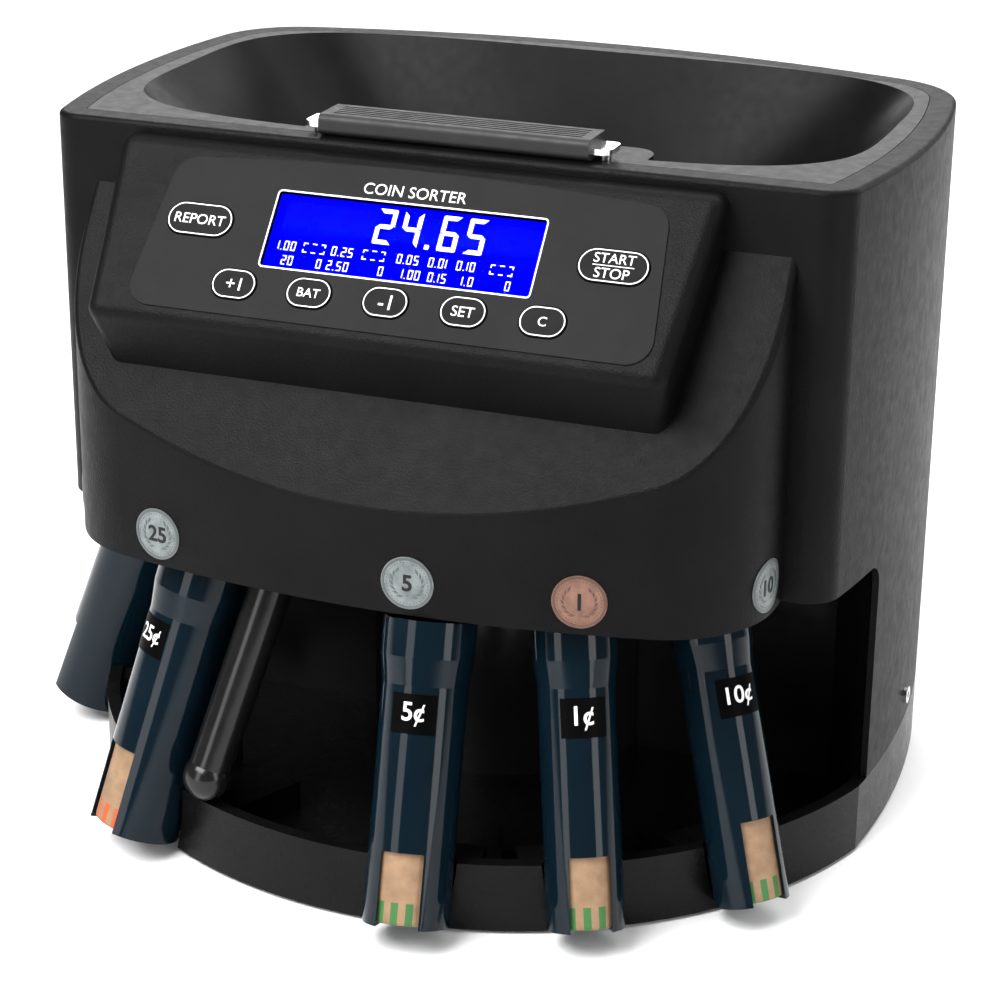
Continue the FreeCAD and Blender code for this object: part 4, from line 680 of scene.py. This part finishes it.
def make_wrapper(coin):
    """A rolled paper wrapper whose edge overlaps itself and whose foot is crimped inwards."""
    outer = tube_radius(coin) - TUBE_WALL - WRAPPER_GAP
    low = TUBE_WALL + WRAPPER_LIFT
    profile = [*CRIMP, *((0.0, height) for height in ROLL_HEIGHTS)]
    builder = bmesh.new()
    rows = []
    for step in range(ROLL_STEPS + 1):
        share = step / ROLL_STEPS
        turn = ROLL_START + share * (2 * math.pi + ROLL_OVERLAP)
        face = outer - WRAPPER_PAPER / 2 - ROLL_TUCK * (1.0 - share)
        fold = 1.0 - PLEAT_DEPTH * (0.5 - 0.5 * math.cos(turn * PLEATS))
        wave = EDGE_WAVE_HEIGHT * math.sin(turn * EDGE_WAVES + EDGE_WAVE_PHASE)
        row = []
        for out, height in profile:
            radius = face + out * MM * fold
            top = low + height * MM + (wave if height == ROLL_HEIGHTS[-1] else 0.0)
            row.append(builder.verts.new((radius * math.sin(turn), radius * math.cos(turn), top)))
        rows.append(row)
    for first, second in zip(rows, rows[1:]):
        for i in range(len(profile) - 1):
            builder.faces.new((first[i], first[i + 1], second[i + 1], second[i]))
    mesh = mesh_of(builder)
    mesh.shade_smooth()
    finish = kraft_paper(f"kraft_{coin}", WRAPPER_BARS[coin], outer)
    made = piece(f"paper_wrapper_{coin}", mesh, finish, f"coin_tube_{coin}", tube_place(coin))
    thick = made.modifiers.new("paper", "SOLIDIFY")
    thick.thickness = WRAPPER_PAPER
    thick.offset = 0.0
    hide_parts(f"wrapper_{coin}")


# each tube label's words and their width in millimetres
TUBE_WORDS = {"100c": ("$1", 7.4), "25c": ("25¢", 11.6), "5c": ("5¢", 8.2), "1c": ("1¢", 7.0),
              "10c": ("10¢", 10.8)}
TUBE_PRINT_RISE = 0.12 * MM
TUBE_PRINT_BOLD = 0.012


def make_tube_print(coin):
    """The white value printed on a tube's label, wrapped round it."""
    words, width = TUBE_WORDS[coin]
    place = tube_place(coin)
    inverse = place.inverted()
    points = [inverse @ vertex.co for vertex in NODES[f"label_{coin}"].data.vertices]
    radius = max(math.hypot(p.x, p.y) for p in points)
    height = (min(p.z for p in points) + max(p.z for p in points)) / 2
    mesh = lettering(words, TUBE_PRINT_RISE, width=width * MM, bold=TUBE_PRINT_BOLD)
    for vertex in mesh.vertices:
        turn = vertex.co.x / radius
        reach = radius + vertex.co.z
        vertex.co = (reach * math.sin(turn), -reach * math.cos(turn), height + vertex.co.y)
    piece(f"label_print_{coin}", mesh, MATERIALS["print_white"], f"coin_tube_{coin}", place)


# ---------------------------------------------------------------- coin stickers

# each sticker's words, and the way it faces in degrees from -Y towards +X
STICKERS = {"left": ("$1", -75.0), "25c": ("25", -11.4), "5c": ("5", 2.1), "1c": ("1", 10.3),
            "10c": ("10", 75.0)}
STICKER_WORDS_HEIGHT = 6.2 * MM
STICKER_WORDS_RISE = 0.16 * MM
STICKER_WORDS_BOLD = 0.02
SAME_POINT = 0.001 * MM              # the CAD mesh repeats points; these are joined


def sticker_parts():
    """The sticker node's separate discs, each as a mesh, from -X to +X."""
    whole = bmesh.new()
    whole.from_mesh(NODES["coin_stickers"].data)
    bmesh.ops.remove_doubles(whole, verts=whole.verts, dist=SAME_POINT)
    whole.verts.index_update()
    whole.faces.index_update()
    reached = set()
    discs = []
    for first in whole.verts:
        if first in reached:
            continue
        found, queue = set(), [first]
        while queue:
            vertex = queue.pop()
            if vertex not in found:
                found.add(vertex)
                queue += [edge.other_vert(vertex) for edge in vertex.link_edges]
        reached |= found
        # sets have no order of their own, so points and faces are put in the CAD mesh's order
        verts = sorted(found, key=lambda vertex: vertex.index)
        faces = sorted({face for vertex in verts for face in vertex.link_faces},
                       key=lambda face: face.index)
        lookup = {vertex: number for number, vertex in enumerate(verts)}
        mesh = bpy.data.meshes.new("disc")
        mesh.from_pydata([vertex.co.copy() for vertex in verts], [],
                         [[lookup[v] for v in face.verts] for face in faces])
        discs.append(mesh)
    whole.free()
    return sorted(discs, key=lambda mesh: sum(v.co.x for v in mesh.vertices))


# the relief: radii and leaf lengths are shares of the sticker's radius, the beads' and leaves'
# rises are shares of the rim's, and a leaf's half width is a share of its half length
RIM_RISE = 0.14 * MM
RIM_INSIDE, RIM_OUTSIDE = 0.88, 0.97
BEADS, BEAD_RING, BEAD_RISE = 40, 0.80, 0.7
BEAD_RADIUS, BEAD_SIDES = 0.22 * MM, 6
LEAVES, LEAF_RING, LEAF_RISE = 7, 0.60, 0.8
LEAF_HALF_LENGTH, LEAF_HALF_WIDTH = 0.13, 0.36
FIRST_LEAF, LEAF_STEP = -62.0, 19.0  # degrees up from level


def relief(radius):
    """A plain coin's relief: a rim, a ring of beads and two sprays of leaves."""
    builder = bmesh.new()
    band(builder, circle_outline(radius * RIM_INSIDE), circle_outline(radius * RIM_OUTSIDE),
         0.0, RIM_RISE)
    bead = circle_outline(BEAD_RADIUS, BEAD_SIDES)
    for number in range(BEADS):
        turn = 2 * math.pi * number / BEADS
        middle = Vector((math.cos(turn), math.sin(turn))) * radius * BEAD_RING
        slab(builder, [(middle.x + x, middle.y + y) for x, y in bead], 0.0, RIM_RISE * BEAD_RISE)
    for side in (-1, 1):
        for number in range(LEAVES):
            turn = math.radians(FIRST_LEAF + number * LEAF_STEP)
            lean = turn - math.radians(FIRST_LEAF)
            middle = Vector((math.cos(turn), math.sin(turn))) * radius * LEAF_RING
            along = Vector((math.cos(lean), math.sin(lean))) * radius * LEAF_HALF_LENGTH
            wide = Vector((-along.y, along.x)) * LEAF_HALF_WIDTH
            corners = (middle - along, middle + wide, middle + along, middle - wide)
            slab(builder, [(side * p.x, p.y) for p in corners], 0.0, RIM_RISE * LEAF_RISE)
    return builder


def make_stickers():
    """The five coin stickers: their discs, a plain relief and the value."""
    surface = surface_of("coin_stickers")
    for (name, (words, facing)), disc in zip(STICKERS.items(), sticker_parts()):
        turn = math.radians(facing)
        place = upright_frame((0.0, 0.0, 0.0), (math.sin(turn), -math.cos(turn), 0.0))
        inverse = place.inverted()
        points = [inverse @ vertex.co for vertex in disc.vertices]
        low = Vector(map(min, zip(*points)))
        high = Vector(map(max, zip(*points)))
        radius = (high.y - low.y) / 2
        place = Matrix.Translation(place @ ((low + high) / 2)) @ place
        finish = MATERIALS["sticker_copper" if name == "1c" else "sticker_print"]
        ink = MATERIALS["copper_ink" if name == "1c" else "silver_ink"]
        made = piece(f"sticker_{name}", disc, finish, ROOT, None)
        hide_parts("coin_stickers")
        rim = mesh_of(relief(radius))
        drape(rim, place, surface)
        piece(f"sticker_relief_{name}", rim, ink, ROOT, place)
        number = lettering(words, STICKER_WORDS_RISE, height=STICKER_WORDS_HEIGHT,
                           bold=STICKER_WORDS_BOLD)
        drape(number, place, surface)
        piece(f"sticker_value_{name}", number, MATERIALS["print_dark"], ROOT, place)


# ---------------------------------------------------------------- stage, light and camera

FLOOR_RADIUS = 9.0
FLOOR_SIDES = 96
FLOOR_BLOTCHES = 3.0


def make_floor():
    """A wide pale floor under the machine."""
    builder = bmesh.new()
    bmesh.ops.create_circle(builder, cap_ends=True, segments=FLOOR_SIDES, radius=FLOOR_RADIUS)
    mesh = mesh_of(builder)
    floor = bpy.data.objects.new("floor", mesh)
    bpy.context.scene.collection.objects.link(floor)
    mesh.materials.append(shade("floor", grey(0.86), grey(0.88), (0.5, 0.6),
                                blotch=FLOOR_BLOTCHES))


# the sky's stops: (height of the direction, grey)
SKY = ((0.16, 0.26), (0.42, 0.12))
MACHINE_MIDDLE = (0.0, 0.0, 0.13)
FLOOR_BEHIND = (0.0, 0.2, 0.0)
# each light's name, place, the point it faces, width, height and power in watts
LIGHTS = (
    ("left_softbox", (-0.45, -1.15, 0.46), MACHINE_MIDDLE, 0.4, 0.9, 5.0),
    ("right_softbox", (1.10, -0.55, 0.46), MACHINE_MIDDLE, 0.4, 0.9, 6.0),
    ("front_top", (-0.40, -0.80, 1.15), MACHINE_MIDDLE, 1.0, 0.8, 37.0),
    ("back_right", (0.95, 1.05, 0.75), MACHINE_MIDDLE, 0.8, 0.9, 9.0),
    ("back_left", (-0.5, 1.7, 0.85), MACHINE_MIDDLE, 1.8, 0.5, 12.0),
    ("ceiling", (0.2, 0.7, 2.2), FLOOR_BEHIND, 2.6, 2.0, 62.0),
)


def soft_light(name, place, target, width, height, power):
    """A rectangular soft light that faces a point."""
    lamp = bpy.data.lights.new(name, "AREA")
    lamp.shape = "RECTANGLE"
    lamp.size, lamp.size_y = width, height
    lamp.energy = power
    made = bpy.data.objects.new(name, lamp)
    bpy.context.scene.collection.objects.link(made)
    made.location = place
    made.rotation_euler = (Vector(target) - Vector(place)).to_track_quat("-Z", "Y").to_euler()


def make_lights():
    """A dim sky, and the lights: two softboxes at the front, a high one there, three behind."""
    world = bpy.data.worlds.new("studio")
    bpy.context.scene.world = world
    world.use_nodes = True
    tree = world.node_tree
    direction = node(tree, "ShaderNodeTexCoord").outputs["Generated"]
    height = node(tree, "ShaderNodeSeparateXYZ", Vector=direction).outputs["Z"]
    sky = ramp(tree, height, *((place, grey(value)) for place, value in SKY))
    tree.links.new(sky, tree.nodes["Background"].inputs["Color"])
    for light in LIGHTS:
        soft_light(*light)


SENSOR_WIDTH = 36.0
FOCAL_LENGTH = 98.2
CAMERA_PLACE = (0.3503, -0.9576, 0.5019)
HEADING, DIP, ROLL = math.radians(20.42), math.radians(21.37), math.radians(0.59)


def make_camera():
    """A long-lens camera, up to the right of the machine's front, looking down on it."""
    lens = bpy.data.cameras.new("camera")
    lens.sensor_width = SENSOR_WIDTH
    lens.lens = FOCAL_LENGTH
    made = bpy.data.objects.new("camera", lens)
    bpy.context.scene.collection.objects.link(made)
    made.matrix_world = (Matrix.Translation(CAMERA_PLACE)
                         @ Matrix.Rotation(HEADING, 4, "Z")
                         @ Matrix.Rotation(math.pi / 2 - DIP, 4, "X")
                         @ Matrix.Rotation(ROLL, 4, "Z"))
    bpy.context.scene.camera = made
    bpy.context.scene.view_settings.view_transform = "Standard"


# ---------------------------------------------------------------- making

make_camera()
paint_cad_nodes()
make_display_print()
make_display_border()
make_title()
make_key_prints()
for coin in COINS:
    make_wrapper(coin)
    make_tube_print(coin)
make_stickers()
make_floor()
make_lights()
